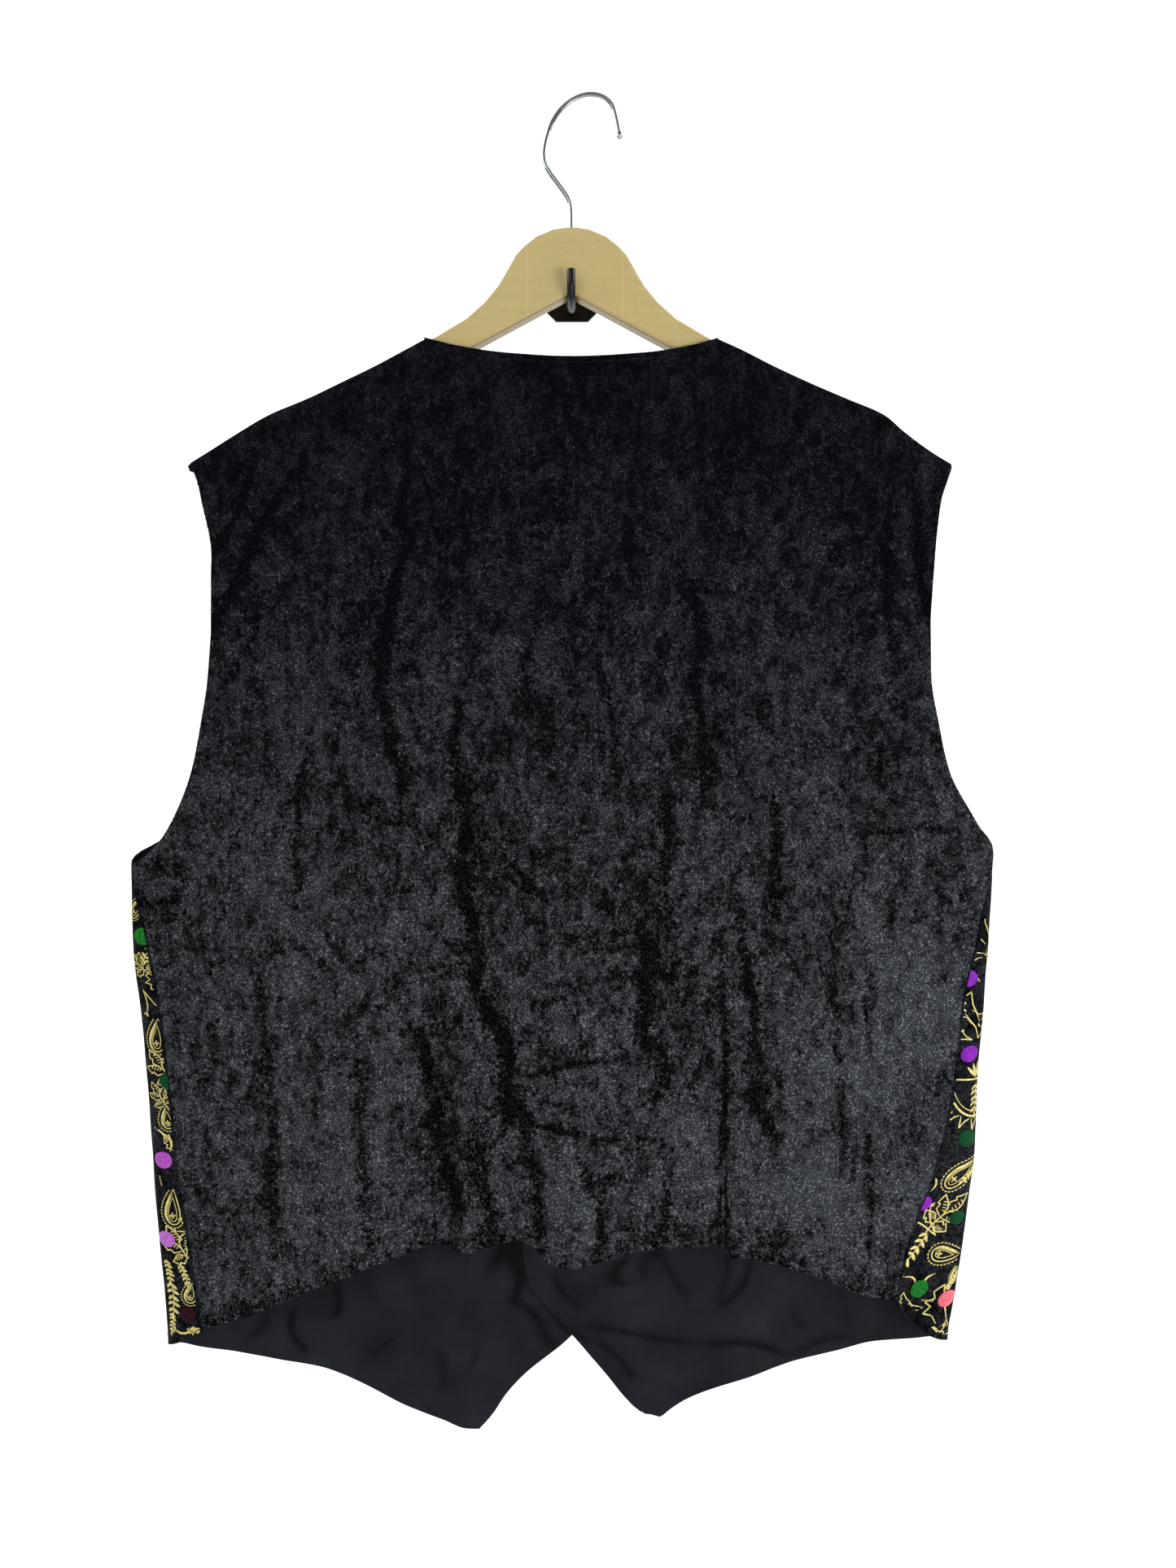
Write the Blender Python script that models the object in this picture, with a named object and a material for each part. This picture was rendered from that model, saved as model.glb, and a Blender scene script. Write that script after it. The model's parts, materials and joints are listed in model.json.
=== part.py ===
"""A velvet vest with pointed fronts, hung on a flat wooden hanger that rests on a wall hook.

Every size in the tables is in millimetres. +Z is up, +X is the viewer's right and -Y is
towards the viewer, who sees the vest's back. The origin is the middle of the wall hook's
plate, on its flat back face, which lies on the wall at y = 0.
"""

import math

import bmesh
import bpy
from mathutils import Vector

MM = 0.001

# Hanger
HANGER_MIDDLE_Y = -32.0
HANGER_THICK = 12.0
HANGER_EDGE_ROUND = 2.0
WOOD_CLEARANCE = 0.4
APEX_Z = -17.6
ARM_HEIGHT = 24.0
ARM_END_X = 215.0

# Cloth
VELVET = 1.5
LINING = 1.0
GAP = 0.3
SHOULDER_HALF = HANGER_THICK / 2 + WOOD_CLEARANCE
SHOULDER_CORNER = 2.4
TIP_HALF = 3.0
NECK_POINT = 96.5
SHOULDER_FADE = 90.0
FOLD_START = 45.0
OVERLAP_STEP = LINING + VELVET + 4 * GAP
OVERLAP_REACH = 75.0
OVERLAP_EASE = 35.0
DART_LENGTH = 190.0
DART_HALF = 5.0
DEEPEST_FOLD = 7.5
PIT_Z = {-1: -395.0, 1: -386.0}
RIGHT_ARMHOLE_LIFT = 6.0

# Turn of the cloth over the top of the hanger: angle round the corner, or none on the flat top
TURN = (None, 0.0, 45.0)

# Rows and columns of the walls. The pit's share is how far down the rows the arm pit lies.
PIT_SHARE = 0.467
BACK_ROW_COUNT = 28
BACK_ROWS_TO_PIT = 13
BACK_OUTER = 10
BACK_MIDDLE = 11
NECK_COLUMN = 0.6
FRONT_ROW_COUNT = 26
FRONT_ROWS_TO_PIT = 12
FRONT_TURN_COLUMNS = (0.0, 5.0, 10.0, 15.5, 21.5, 28.0, 36.0)
FRONT_COLUMNS = 13
LINING_FIRST_ROW = 22
LINING_FIRST_COLUMN = 1
LINING_SET_BACK = 1.5

# Buttons
BUTTON_RADIUS = 9.0
BUTTON_THICK = 3.2
BUTTON_X = 8.0
BUTTON_TOP_Z = -372.0
BUTTON_SPACING = 92.0
BUTTON_COUNT = 4

# Wire hook and wall hook
WIRE_RADIUS = 1.5
WIRE_HOLE = WIRE_RADIUS + GAP
WIRE_DEPTH = 13.0
BAR_RADIUS = 2.75
PLATE_WIDTH = 40.0
PLATE_HEIGHT = 44.0
PLATE_THICK = 3.0
PLATE_CHAMFER = 9.0
PLATE_EDGE = 0.6

# Upper edge of the back, seen from the front: x, z. Shoulder, neck, shoulder.
TOP_EDGE = (
    (-254, -129.0),
    (-236, -118.0),
    (-217, -107.3),
    (-199, -97.0),
    (-173, -86.0),
    (-151, -75.4),
    (-129, -64.7),
    (-109, -54.0),
    (-96.5, -47.2),
    (-76, -52.2),
    (-44, -57.0),
    (0, -59.4),
    (48, -57.0),
    (79, -52.2),
    (97, -47.2),
    (112, -54.0),
    (133, -64.7),
    (156, -75.4),
    (181, -86.2),
    (206, -97.0),
    (218, -107.0),
    (234, -118.0),
    (252, -129.0),
)

# Hem of the back: x, z
BACK_HEM = (
    (-243, -698.0),
    (-207, -687.0),
    (-178, -674.0),
    (-148, -661.0),
    (-119, -649.5),
    (-89, -637.5),
    (-68, -643.5),
    (-50, -639.0),
    (-35, -636.5),
    (-22, -643.0),
    (-15, -650.0),
    (-1, -653.0),
    (21, -648.5),
    (47, -642.6),
    (98, -638.4),
    (103, -647.4),
    (124, -650.0),
    (156, -659.6),
    (190, -674.0),
    (213, -679.0),
)

# Armhole of the back: z, left x, right x
BACK_ARMHOLE = (
    (-129, -254, 252),
    (-140, -247, 248),
    (-156, -243, 243),
    (-190, -236, 239),
    (-237, -236, 236),
    (-269, -237.5, 235.5),
    (-301, -242, 240.5),
    (-333, -248.5, 248),
    (-365, -261, 265),
    (-386, -276, 277),
    (-395, -289, 277.5),
)

# Armhole of the fronts, cut a little deeper: z, distance out on the left, on the right
FRONT_ARMHOLE = (
    (-129, 252, 250),
    (-156, 239, 239),
    (-195, 229, 231),
    (-240, 227, 228),
    (-275, 230, 229),
    (-311, 237, 236),
    (-343, 247, 248),
    (-366, 262, 262),
    (-380, 279, 275),
)

# Side seam, on the outside of the cloth: z, left x, right x
SIDE_SEAM = (
    (-386, -289.0, 277.5),
    (-395, -289.0, 277.0),
    (-415, -284.0, 272.0),
    (-442, -278.0, 266.0),
    (-466, -273.0, 260.0),
    (-485, -270.0, 255.7),
    (-525, -265.0, 252.0),
    (-562, -261.0, 246.0),
    (-600, -258.0, 236.5),
    (-627, -253.0, 225.5),
    (-650, -249.3, 218.5),
    (-679, -245.0, 213.5),
    (-705, -241.5, 212.0),
)

# Fold where a front turns round the side: z, left x, right x
SIDE_FOLD = (
    (-120, -292.0, 279.5),
    (-395, -291.6, 279.5),
    (-430, -291.3, 277.4),
    (-463, -289.1, 275.0),
    (-496, -284.8, 273.1),
    (-528, -282.6, 269.8),
    (-577, -278.8, 268.2),
    (-626, -275.5, 262.2),
    (-675, -270.8, 255.7),
    (-708, -269.0, 250.5),
    (-790, -268.0, 250.0),
)

# Depth of the hanging vest: z, middle y, half depth at the sides, back bulge, front bulge
DEPTH = (
    (-40, -32.0, 6.4, 0.0, 0.0),
    (-130, -32.0, 6.4, 0.6, 0.4),
    (-220, -31.5, 7.2, 4.0, 2.0),
    (-330, -30.6, 8.8, 8.5, 3.5),
    (-450, -29.4, 9.8, 12.0, 5.0),
    (-570, -28.0, 10.0, 12.5, 6.0),
    (-700, -26.5, 10.0, 10.5, 6.0),
    (-790, -26.0, 10.0, 9.0, 5.0),
)

# Neck and closing edge of the left front: z, x
LEFT_CLOSING = (
    (-47, -97.0),
    (-60, -95.5),
    (-90, -89.0),
    (-140, -76.0),
    (-200, -57.0),
    (-260, -34.0),
    (-310, -10.0),
    (-345, 12.0),
    (-368, 25.0),
    (-392, 31.5),
    (-520, 31.5),
    (-660, 31.5),
    (-680, 29.0),
    (-692, 23.0),
    (-722, -5.3),
    (-743, -31.8),
    (-758, -45.7),
    (-770, -54.0),
    (-779.4, -63.0),
)

# The same edge of the right front: z, x
RIGHT_CLOSING = (
    (-47, 97.0),
    (-60, 95.5),
    (-90, 88.0),
    (-140, 75.0),
    (-200, 55.5),
    (-260, 32.0),
    (-310, 8.0),
    (-345, -14.0),
    (-368, -27.5),
    (-392, -34.5),
    (-520, -34.5),
    (-652, -34.5),
    (-672, -32.5),
    (-684, -27.0),
    (-720.5, 5.0),
    (-742, 23.4),
    (-758.5, 37.1),
    (-768, 48.0),
    (-771, 60.0),
)

# Hem of the left front: distance out along the cloth, z
LEFT_HEM = (
    (63, -779.4),
    (73, -778.4),
    (87, -772.7),
    (115, -762.0),
    (142, -748.0),
    (170, -736.0),
    (198, -730.0),
    (225, -724.5),
    (257, -719.0),
    (273, -713.5),
    (289, -708.0),
    (306, -700.5),
)

# The same hem of the right front
RIGHT_HEM = (
    (60, -771.0),
    (66, -766.0),
    (78, -758.5),
    (92, -752.4),
    (120, -742.5),
    (147, -732.0),
    (175, -724.3),
    (202, -716.8),
    (230, -714.0),
    (242, -712.0),
    (254, -708.0),
    (270, -702.0),
    (283, -692.0),
    (297, -683.0),
)

# Darts of the back: top z, x where it starts, x at the hem, half width, depth
DARTS = (
    (-452.0, -97.0, -88.5, 5.0, 1.6),
    (-446.0, 100.0, 100.5, 4.5, 2.0),
)

# Large folds of the back: top x, top z, bottom x, bottom z, half width, depth inwards
BACK_FOLDS = (
    (-117, -205, -105, -360, 15, 3.2),
    (-76, -290, -59, -490, 17, 5.0),
    (-56, -470, -26, -650, 14, 6.0),
    (-88, -470, -80, -650, 12, 4.5),
    (-68, -500, -66, -660, 8, -2.5),
    (-4, -470, 2, -665, 20, -4.5),
    (43, -325, 65, -535, 17, 3.8),
    (116, -378, 131, -585, 16, 3.6),
    (160, -330, 168, -600, 24, -2.2),
    (-168, -360, -172, -640, 26, -2.4),
    (-222, -132, -196, -300, 10, 2.0),
    (226, -130, 236, -255, 9, 2.2),
)

# Large folds of the fronts, on the hidden side: top x, top z, bottom x, bottom z, half width, depth
FRONT_FOLDS = (
    (-205, -135, -150, -420, 20, -2.0),
    (-150, -420, -140, -740, 22, 3.0),
    (-215, -430, -205, -700, 18, -2.6),
    (205, -135, 160, -400, 20, -2.2),
    (150, -430, 118, -735, 22, -2.6),
    (210, -440, 196, -690, 18, 2.6),
)

# Outline of the hanger's right half: x, z of the upper edge
WOOD_TOP = (
    (3.0, 26.6),
    (12.0, 25.3),
    (23.0, 20.6),
    (31.0, 14.4),
    (36.5, 8.6),
    (42.0, -1.2),
    (48.0, -11.6),
    (57.0, -22.6),
    (69.0, -33.4),
    (87.0, -44.2),
    (97.0, -49.8),
    (109.0, -56.6),
    (129.0, -67.4),
    (151.0, -78.1),
    (173.0, -88.8),
    (195.0, -98.8),
    (207.0, -106.0),
)

# Arm end and lower edge, from the outside in: x, z
WOOD_UNDER = (
    (213.0, -111.5),
    (215.0, -117.5),
    (213.0, -123.5),
    (207.0, -126.6),
    (199.0, -124.5),
    (160.0, -106.0),
    (120.0, -84.6),
    (80.0, -60.8),
)

# Route of the wire hook, from inside the wood to its rounded end: x, z, thickness factor
WIRE = (
    (0.0, 26.6 - WIRE_DEPTH + 1.0, 1.0),
    (0.0, 30.0, 1.0),
    (-0.3, 41.0, 1.0),
    (-2.6, 48.5, 1.0),
    (-9.8, 58.6, 1.0),
    (-16.4, 68.0, 1.0),
    (-18.2, 76.5, 1.0),
    (-16.6, 87.0, 1.0),
    (-12.8, 98.0, 1.0),
    (-7.0, 106.8, 1.0),
    (0.0, 112.8, 1.0),
    (7.5, 116.2, 1.0),
    (14.8, 116.8, 1.0),
    (21.3, 115.0, 1.0),
    (26.4, 110.4, 1.0),
    (29.2, 103.0, 1.0),
    (31.0, 94.5, 1.0),
    (31.6, 91.4, 1.0),
    (31.8, 90.2, 1.3),
    (32.0, 88.8, 1.3),
    (32.1, 87.8, 0.9),
)

# Route of the wall hook's bar, from inside its plate: y, z
BAR = (
    (-0.8, -15.5),
    (-8.0, -16.2),
    (-17.0, -19.2),
    (-25.0, -21.4),
    (-33.0, -21.6),
    (-39.6, -20.4),
    (-43.4, -16.4),
    (-45.0, -11.0),
    (-45.2, -5.0),
)

MATERIALS = {
    "velvet": ((0.012, 0.012, 0.014), 0.75, 0.0),
    "printed_velvet": ((0.10, 0.08, 0.035), 0.7, 0.0),
    "lining": ((0.010, 0.011, 0.016), 0.6, 0.0),
    "button": ((0.02, 0.02, 0.02), 0.3, 0.0),
    "wood": ((0.62, 0.48, 0.24), 0.5, 0.0),
    "steel": ((0.6, 0.6, 0.62), 0.25, 1.0),
    "black_paint": ((0.01, 0.01, 0.01), 0.35, 0.0),
}


def clamp(value, low=0.0, high=1.0):
    return max(low, min(high, value))


def ease(value):
    """A smooth step from 0 to 1."""
    value = clamp(value)
    return value * value * (3 - 2 * value)


def slopes_of(keys, values):
    """Slopes for a cubic through the points that never overshoots them."""
    steps = [(values[i + 1] - values[i]) / (keys[i + 1] - keys[i]) for i in range(len(keys) - 1)]
    slopes = [steps[0]]
    for before, after in zip(steps, steps[1:]):
        slopes.append(0.0 if before * after <= 0 else 2 * before * after / (before + after))
    slopes.append(steps[-1])
    return slopes


class Table:
    """A table whose first column, in rising or falling order, is the key of smooth curves."""

    def __init__(self, rows):
        rows = sorted(rows)
        self.keys = [row[0] for row in rows]
        self.columns = [list(column) for column in zip(*rows)][1:]
        self.slopes = [slopes_of(self.keys, column) for column in self.columns]

    def read(self, key, column=0):
        keys = self.keys
        key = clamp(key, keys[0], keys[-1])
        i = 0
        while i < len(keys) - 2 and keys[i + 1] < key:
            i += 1
        width = keys[i + 1] - keys[i]
        t = (key - keys[i]) / width
        values, slopes = self.columns[column], self.slopes[column]
        start, end = values[i], values[i + 1]
        return (
            start * (2 * t**3 - 3 * t**2 + 1)
            + end * (3 * t**2 - 2 * t**3)
            + slopes[i] * width * (t**3 - 2 * t**2 + t)
            + slopes[i + 1] * width * (t**3 - t**2)
        )


class Corner:
    """Several tables, each read between its own end keys, so that sharp corners stay sharp."""

    def __init__(self, rows, corner_keys):
        cuts = [-math.inf, *sorted(corner_keys), math.inf]
        self.tables = [Table([r for r in rows if low <= r[0] <= high]) for low, high in zip(cuts, cuts[1:])]
        self.cuts = cuts

    def read(self, key, column=0):
        for table, high in zip(self.tables, self.cuts[1:]):
            if key <= high:
                return table.read(key, column)


TOP = Corner(TOP_EDGE, (-96.5, 97))
HEM = Corner(BACK_HEM, (-89, 98, 103))
ARMHOLE = Table(BACK_ARMHOLE)
FRONT_ARM = Table(FRONT_ARMHOLE)
SEAM = Table(SIDE_SEAM)
FOLD = Table(SIDE_FOLD)
SECTION = Table(DEPTH)
CLOSING = {-1: Table(LEFT_CLOSING), 1: Table(RIGHT_CLOSING)}
FRONT_HEM = {-1: Table(LEFT_HEM), 1: Table(RIGHT_HEM)}


def side_column(side):
    return 0 if side < 0 else 1


def middle_y(z):
    return SECTION.read(z, 0)


def nose_radius(z):
    return SECTION.read(z, 1)


def nose_centre(z, side):
    """Distance out to the centre of the round fold at the side."""
    return abs(FOLD.read(z, side_column(side))) - nose_radius(z) - VELVET


def shoulder_half(x):
    """Half depth over the hanger, thinner past the arm's end."""
    beyond = ease((abs(x) - ARM_END_X + 4) / 32)
    return SHOULDER_HALF + (TIP_HALF - SHOULDER_HALF) * beyond


def half_depth(x, z):
    below = ease((TOP.read(x) - z) / SHOULDER_FADE)
    return shoulder_half(x) + (max(nose_radius(z), SHOULDER_HALF) - shoulder_half(x)) * below


def bulge_shape(x, z):
    centre = nose_centre(z, -1 if x < 0 else 1)
    inside = clamp(1 - (x / centre) ** 2)
    return inside * inside * (3 - 2 * inside)


def fold_depth(folds, x, z):
    """Sum of soft troughs, each fading out at its two ends."""
    total = 0.0
    for x0, z0, x1, z1, half_width, depth in folds:
        along = (z0 - z) / (z0 - z1)
        if not -0.2 < along < 1.2:
            continue
        across = (x - (x0 + (x1 - x0) * along)) / half_width
        fade = ease((along + 0.2) / 0.4) * ease((1.2 - along) / 0.4)
        total += depth * fade * math.exp(-across * across)
    return total


def dart_depth(x, z):
    total = 0.0
    for top, x_top, x_hem, half_width, depth in DARTS:
        along = (top - z) / DART_LENGTH
        if along <= 0:
            continue
        across = (x - (x_top + (x_hem - x_top) * clamp(along))) / half_width
        total += depth * ease(along * 2.5) * math.exp(-2.5 * across * across)
    return total


def relief_share(x, z):
    """How far folds may form: none against the hanger's arms or at the side folds."""
    return ease(bulge_shape(x, z) * 6) * ease((TOP.read(x) - z - ARM_HEIGHT) / FOLD_START)


def back_depth(x, z):
    """y of the back's inner face."""
    edge = bulge_shape(x, z)
    relief = (fold_depth(BACK_FOLDS, x, z) + dart_depth(x, z)) * relief_share(x, z)
    return middle_y(z) - half_depth(x, z) - SECTION.read(z, 2) * edge + min(relief, DEEPEST_FOLD)


def front_depth(x, z):
    """y of the fronts' inner face."""
    edge = bulge_shape(x, z)
    relief = fold_depth(FRONT_FOLDS, x, z) * relief_share(x, z)
    return middle_y(z) + half_depth(x, z) + SECTION.read(z, 3) * edge + relief


def back_place(out, z, side, lift):
    """A point of the back: distance out along the cloth, height, side, and lift off its inner face."""
    centre, radius = nose_centre(z, side), nose_radius(z)
    if out <= centre:
        return Vector((side * out, back_depth(side * out, z) - lift, z))
    angle = (out - centre) / radius
    x = centre + (radius + lift) * math.sin(angle)
    return Vector((side * x, middle_y(z) - (radius + lift) * math.cos(angle), z))


def front_place(out, z, side, lift, step):
    """A point of a front, which runs out to the side fold, round it and on over the back."""
    centre, radius = nose_centre(z, side), nose_radius(z)
    x = side * out
    if out <= centre:
        over = step * ease((OVERLAP_REACH - out) / OVERLAP_EASE)
        return Vector((x, front_depth(x, z) + lift + over, z))
    angle = (out - centre) / radius
    if angle < math.pi:
        x = centre + (radius + lift) * math.sin(angle)
        return Vector((side * x, middle_y(z) + (radius + lift) * math.cos(angle), z))
    return back_place(centre - (out - centre - math.pi * radius), z, side, lift)


def seam_angle(z, side):
    """Angle of the side seam round the fold from the back, or none where it lies on the flat back."""
    centre, radius = nose_centre(z, side), nose_radius(z)
    reach = abs(SEAM.read(z, side_column(side))) - centre
    return math.asin(clamp(reach / (radius + VELVET), -1, 1)) if reach > 0 else None


def seam_from_back(z, side):
    angle = seam_angle(z, side)
    if angle is None:
        return abs(SEAM.read(z, side_column(side))) - GAP / 2
    return nose_centre(z, side) + nose_radius(z) * angle - GAP / 2


def seam_from_front(z, side):
    centre, radius = nose_centre(z, side), nose_radius(z)
    angle = seam_angle(z, side)
    if angle is None:
        flat = centre - abs(SEAM.read(z, side_column(side)))
        return centre + math.pi * radius + flat - GAP / 2
    return centre + radius * (math.pi - angle) - GAP / 2


def back_edge(z, side):
    if z >= PIT_Z[side]:
        edge = abs(ARMHOLE.read(z, side_column(side)))
        return min(edge, seam_from_back(PIT_Z[side], side))
    return seam_from_back(z, side)


def front_edge(z, side):
    """Outer edge of a front: armhole, a short turn round the fold under the arm, side seam."""
    lift = 0.0 if side < 0 else RIGHT_ARMHOLE_LIFT
    turn_top = FRONT_ARMHOLE[-1][0] + lift
    pit = PIT_Z[side]
    if z >= turn_top:
        return FRONT_ARM.read(z - lift, side_column(side))
    if z > pit:
        start = FRONT_ARM.read(FRONT_ARMHOLE[-1][0], side_column(side))
        share = (turn_top - z) / (turn_top - pit)
        return start + (seam_from_front(pit, side) - start) * share**0.8
    return seam_from_front(z, side)


def shares(count, to_pit):
    """Row places from 0 to 1, with a row at the arm pit."""
    upper = [PIT_SHARE * i / to_pit for i in range(to_pit)]
    rest = count - to_pit
    return upper + [PIT_SHARE + (1 - PIT_SHARE) * i / rest for i in range(rest + 1)]


def turned_point(x, side_y, step, lift, half):
    """A point of the shoulder's turn, from its seam on top to the start of the panel."""
    crest = TOP.read(x) - VELVET
    corner_y = side_y * (half - SHOULDER_CORNER)
    if TURN[step] is None:
        return Vector((x, HANGER_MIDDLE_Y + side_y * GAP / 2, crest + lift))
    angle = math.radians(TURN[step])
    radius = SHOULDER_CORNER + lift
    return Vector((
        x,
        HANGER_MIDDLE_Y + corner_y + side_y * radius * math.sin(angle),
        crest - SHOULDER_CORNER + radius * math.cos(angle),
    ))


def panel_top(x):
    """Height where the turn ends and the flat panel starts."""
    return TOP.read(x) - VELVET - SHOULDER_CORNER


BACK_ROWS = shares(BACK_ROW_COUNT, BACK_ROWS_TO_PIT)
FRONT_ROWS = shares(FRONT_ROW_COUNT, FRONT_ROWS_TO_PIT)


def back_columns(share):
    """x of each column in a row of the back: edge, dart, dart, edge."""
    z_left = panel_top(-254) + share * (BACK_HEM[0][1] - panel_top(-254))
    z_right = panel_top(252) + share * (BACK_HEM[-1][1] - panel_top(252))
    left = -back_edge(z_left, -1)
    right = back_edge(z_right, 1)
    dart_left = -NECK_POINT + (NECK_POINT + DARTS[0][2]) * share
    dart_right = 97 + (DARTS[1][2] - 97) * share
    inner = NECK_COLUMN + (DART_HALF - NECK_COLUMN) * ease(share / 0.06)
    spread = [(i / BACK_OUTER) ** 1.5 for i in range(BACK_OUTER)]
    columns = [left + (dart_left - DART_HALF - left) * s for s in spread]
    columns += [dart_left - DART_HALF, dart_left]
    start, end = dart_left + inner, dart_right - inner
    columns += [start + (end - start) * i / BACK_MIDDLE for i in range(BACK_MIDDLE + 1)]
    columns += [dart_right, dart_right + DART_HALF]
    columns += [right + (dart_right + DART_HALF - right) * s for s in reversed(spread)]
    return columns


def back_grid(lift):
    tops, hems = back_columns(0.0), back_columns(1.0)
    grid = []
    for step in range(len(TURN)):
        row = []
        for x in tops:
            if abs(x) >= NECK_POINT - 0.01:
                row.append(turned_point(x, -1, step, lift, shoulder_half(x)))
            else:
                z = TOP.read(x) - (VELVET + SHOULDER_CORNER) * step / len(TURN)
                row.append(back_place(abs(x), z, -1 if x < 0 else 1, lift))
        grid.append(row)
    for share in BACK_ROWS:
        row = []
        for x, x_top, x_hem in zip(back_columns(share), tops, hems):
            x_hem = clamp(x_hem, BACK_HEM[0][0], BACK_HEM[-1][0])
            z = panel_top(x_top) + share * (HEM.read(x_hem) - panel_top(x_top))
            row.append(back_place(abs(x), z, -1 if x < 0 else 1, lift))
        grid.append(row)
    return grid


def front_columns(z_out, z_in, side):
    """Distance out of each column in a row of a front, from the outer edge to the closing edge."""
    outer = front_edge(z_out, side)
    inner = side * CLOSING[side].read(z_in)
    turn = [outer - d for d in FRONT_TURN_COLUMNS]
    start = turn[-1]
    return turn + [start + (inner - start) * i / FRONT_COLUMNS for i in range(1, FRONT_COLUMNS + 1)]


def front_ends(side):
    """Height of the panel's top and hem at each column."""
    tip = 254 if side < 0 else 252
    tops = [tip - d for d in FRONT_TURN_COLUMNS]
    tops += [tops[-1] + (NECK_POINT - tops[-1]) * i / FRONT_COLUMNS for i in range(1, FRONT_COLUMNS + 1)]
    table = FRONT_HEM[side]
    outs = [table.keys[-1] - d for d in FRONT_TURN_COLUMNS]
    outs += [outs[-1] + (table.keys[0] - outs[-1]) * i / FRONT_COLUMNS for i in range(1, FRONT_COLUMNS + 1)]
    return [side * t for t in tops], [table.read(out) for out in outs]


def front_grid(side, lift, set_back=0.0):
    tops, hems = front_ends(side)
    step = OVERLAP_STEP if side < 0 else 0.0
    grid = [[turned_point(x, 1, turn, lift, shoulder_half(x)) for x in tops] for turn in range(len(TURN))]
    for share in FRONT_ROWS:
        heights = [panel_top(x) + share * (hem - panel_top(x)) for x, hem in zip(tops, hems)]
        outs = front_columns(heights[0], heights[-1], side)
        outs[-1] += set_back
        if share == FRONT_ROWS[-1]:
            heights = [z + set_back for z in heights]
        grid.append([front_place(out, z, side, lift, step) for out, z in zip(outs, heights)])
    return grid


def lining_grid(side, lift):
    """The part of a front's lining that shows below the back's hem: the front's own points, moved in."""
    return [row[LINING_FIRST_COLUMN:] for row in front_grid(side, lift, LINING_SET_BACK)[LINING_FIRST_ROW:]]


def make_material(name):
    colour, roughness, metallic = MATERIALS[name]
    material = bpy.data.materials.new(name)
    material.use_nodes = True
    shader = material.node_tree.nodes["Principled BSDF"]
    shader.inputs["Base Color"].default_value = (*colour, 1)
    shader.inputs["Roughness"].default_value = roughness
    shader.inputs["Metallic"].default_value = metallic
    material.diffuse_color = (*colour, 1)
    return material


def add_object(name, mesh, material):
    obj = bpy.data.objects.new(name, mesh)
    obj.data.materials.append(material)
    bpy.context.scene.collection.objects.link(obj)
    return obj


def finish_mesh(name, mesh_data, material):
    mesh = bpy.data.meshes.new(name)
    bmesh.ops.recalc_face_normals(mesh_data, faces=mesh_data.faces)
    mesh_data.to_mesh(mesh)
    mesh_data.free()
    mesh.shade_smooth()
    mesh.set_sharp_from_angle(angle=math.radians(50))
    return add_object(name, mesh, material)


def wall(name, inner, outer, material):
    """One closed wall between two grids of points."""
    mesh = bmesh.new()
    faces = [[[mesh.verts.new(p * MM) for p in row] for row in grid] for grid in (inner, outer)]
    rows, columns = len(inner), len(inner[0])
    for face in faces:
        for i in range(rows - 1):
            for j in range(columns - 1):
                mesh.faces.new((face[i][j], face[i][j + 1], face[i + 1][j + 1]))
                mesh.faces.new((face[i][j], face[i + 1][j + 1], face[i + 1][j]))
    rim = [(0, j) for j in range(columns)]
    rim += [(i, columns - 1) for i in range(1, rows)]
    rim += [(rows - 1, j) for j in range(columns - 2, -1, -1)]
    rim += [(i, 0) for i in range(rows - 2, 0, -1)]
    for (i, j), (k, m) in zip(rim, rim[1:] + rim[:1]):
        mesh.faces.new((faces[0][i][j], faces[0][k][m], faces[1][k][m], faces[1][i][j]))
    return finish_mesh(name, mesh, material)


def extruded(name, outline, y_front, y_back, bevel, segments, material):
    """A flat piece of the outline's shape, with its front and back edges rounded."""
    mesh = bmesh.new()
    face = mesh.faces.new([mesh.verts.new(Vector((x, y_front, z)) * MM) for x, z in outline])
    moved = bmesh.ops.extrude_face_region(mesh, geom=[face])
    far = [v for v in moved["geom"] if isinstance(v, bmesh.types.BMVert)]
    bmesh.ops.translate(mesh, verts=far, vec=Vector((0, y_back - y_front, 0)) * MM)
    rims = [e for e in mesh.edges if abs(e.verts[0].co.y - e.verts[1].co.y) < MM * 0.01]
    bmesh.ops.bevel(mesh, geom=rims, offset=bevel * MM, segments=segments, profile=0.5, affect="EDGES")
    return finish_mesh(name, mesh, material)


def cylinder_cutter(name, radius, low, high, sides=16):
    """A cutter between two points, kept out of the model."""
    mesh = bmesh.new()
    length = (high - low).length
    bmesh.ops.create_cone(mesh, cap_ends=True, segments=sides, radius1=radius * MM,
                          radius2=radius * MM, depth=length * MM)
    data = bpy.data.meshes.new(name)
    mesh.to_mesh(data)
    mesh.free()
    cutter = bpy.data.objects.new(name, data)
    cutter.location = (low + high) / 2 * MM
    cutter.rotation_euler = (high - low).to_track_quat("Z", "Y").to_euler()
    cutter.hide_render = True
    cutter.display_type = "WIRE"
    bpy.context.scene.collection.objects.link(cutter)
    return cutter


def cut(obj, cutter):
    modifier = obj.modifiers.new("hole", "BOOLEAN")
    modifier.operation = "DIFFERENCE"
    modifier.solver = "EXACT"
    modifier.object = cutter


def smooth_route(points, steps):
    """Points along a smooth curve through the given ones; every column is smoothed alike."""
    padded = [points[0], *points, points[-1]]
    route = []
    for a, b, c, d in zip(padded, padded[1:], padded[2:], padded[3:]):
        for i in range(steps):
            t = i / steps
            route.append(tuple(
                0.5 * (2 * q + (r - p) * t + (2 * p - 5 * q + 4 * r - s) * t * t
                       + (3 * q - p - 3 * r + s) * t**3)
                for p, q, r, s in zip(a, b, c, d)
            ))
    route.append(points[-1])
    return route


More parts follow.
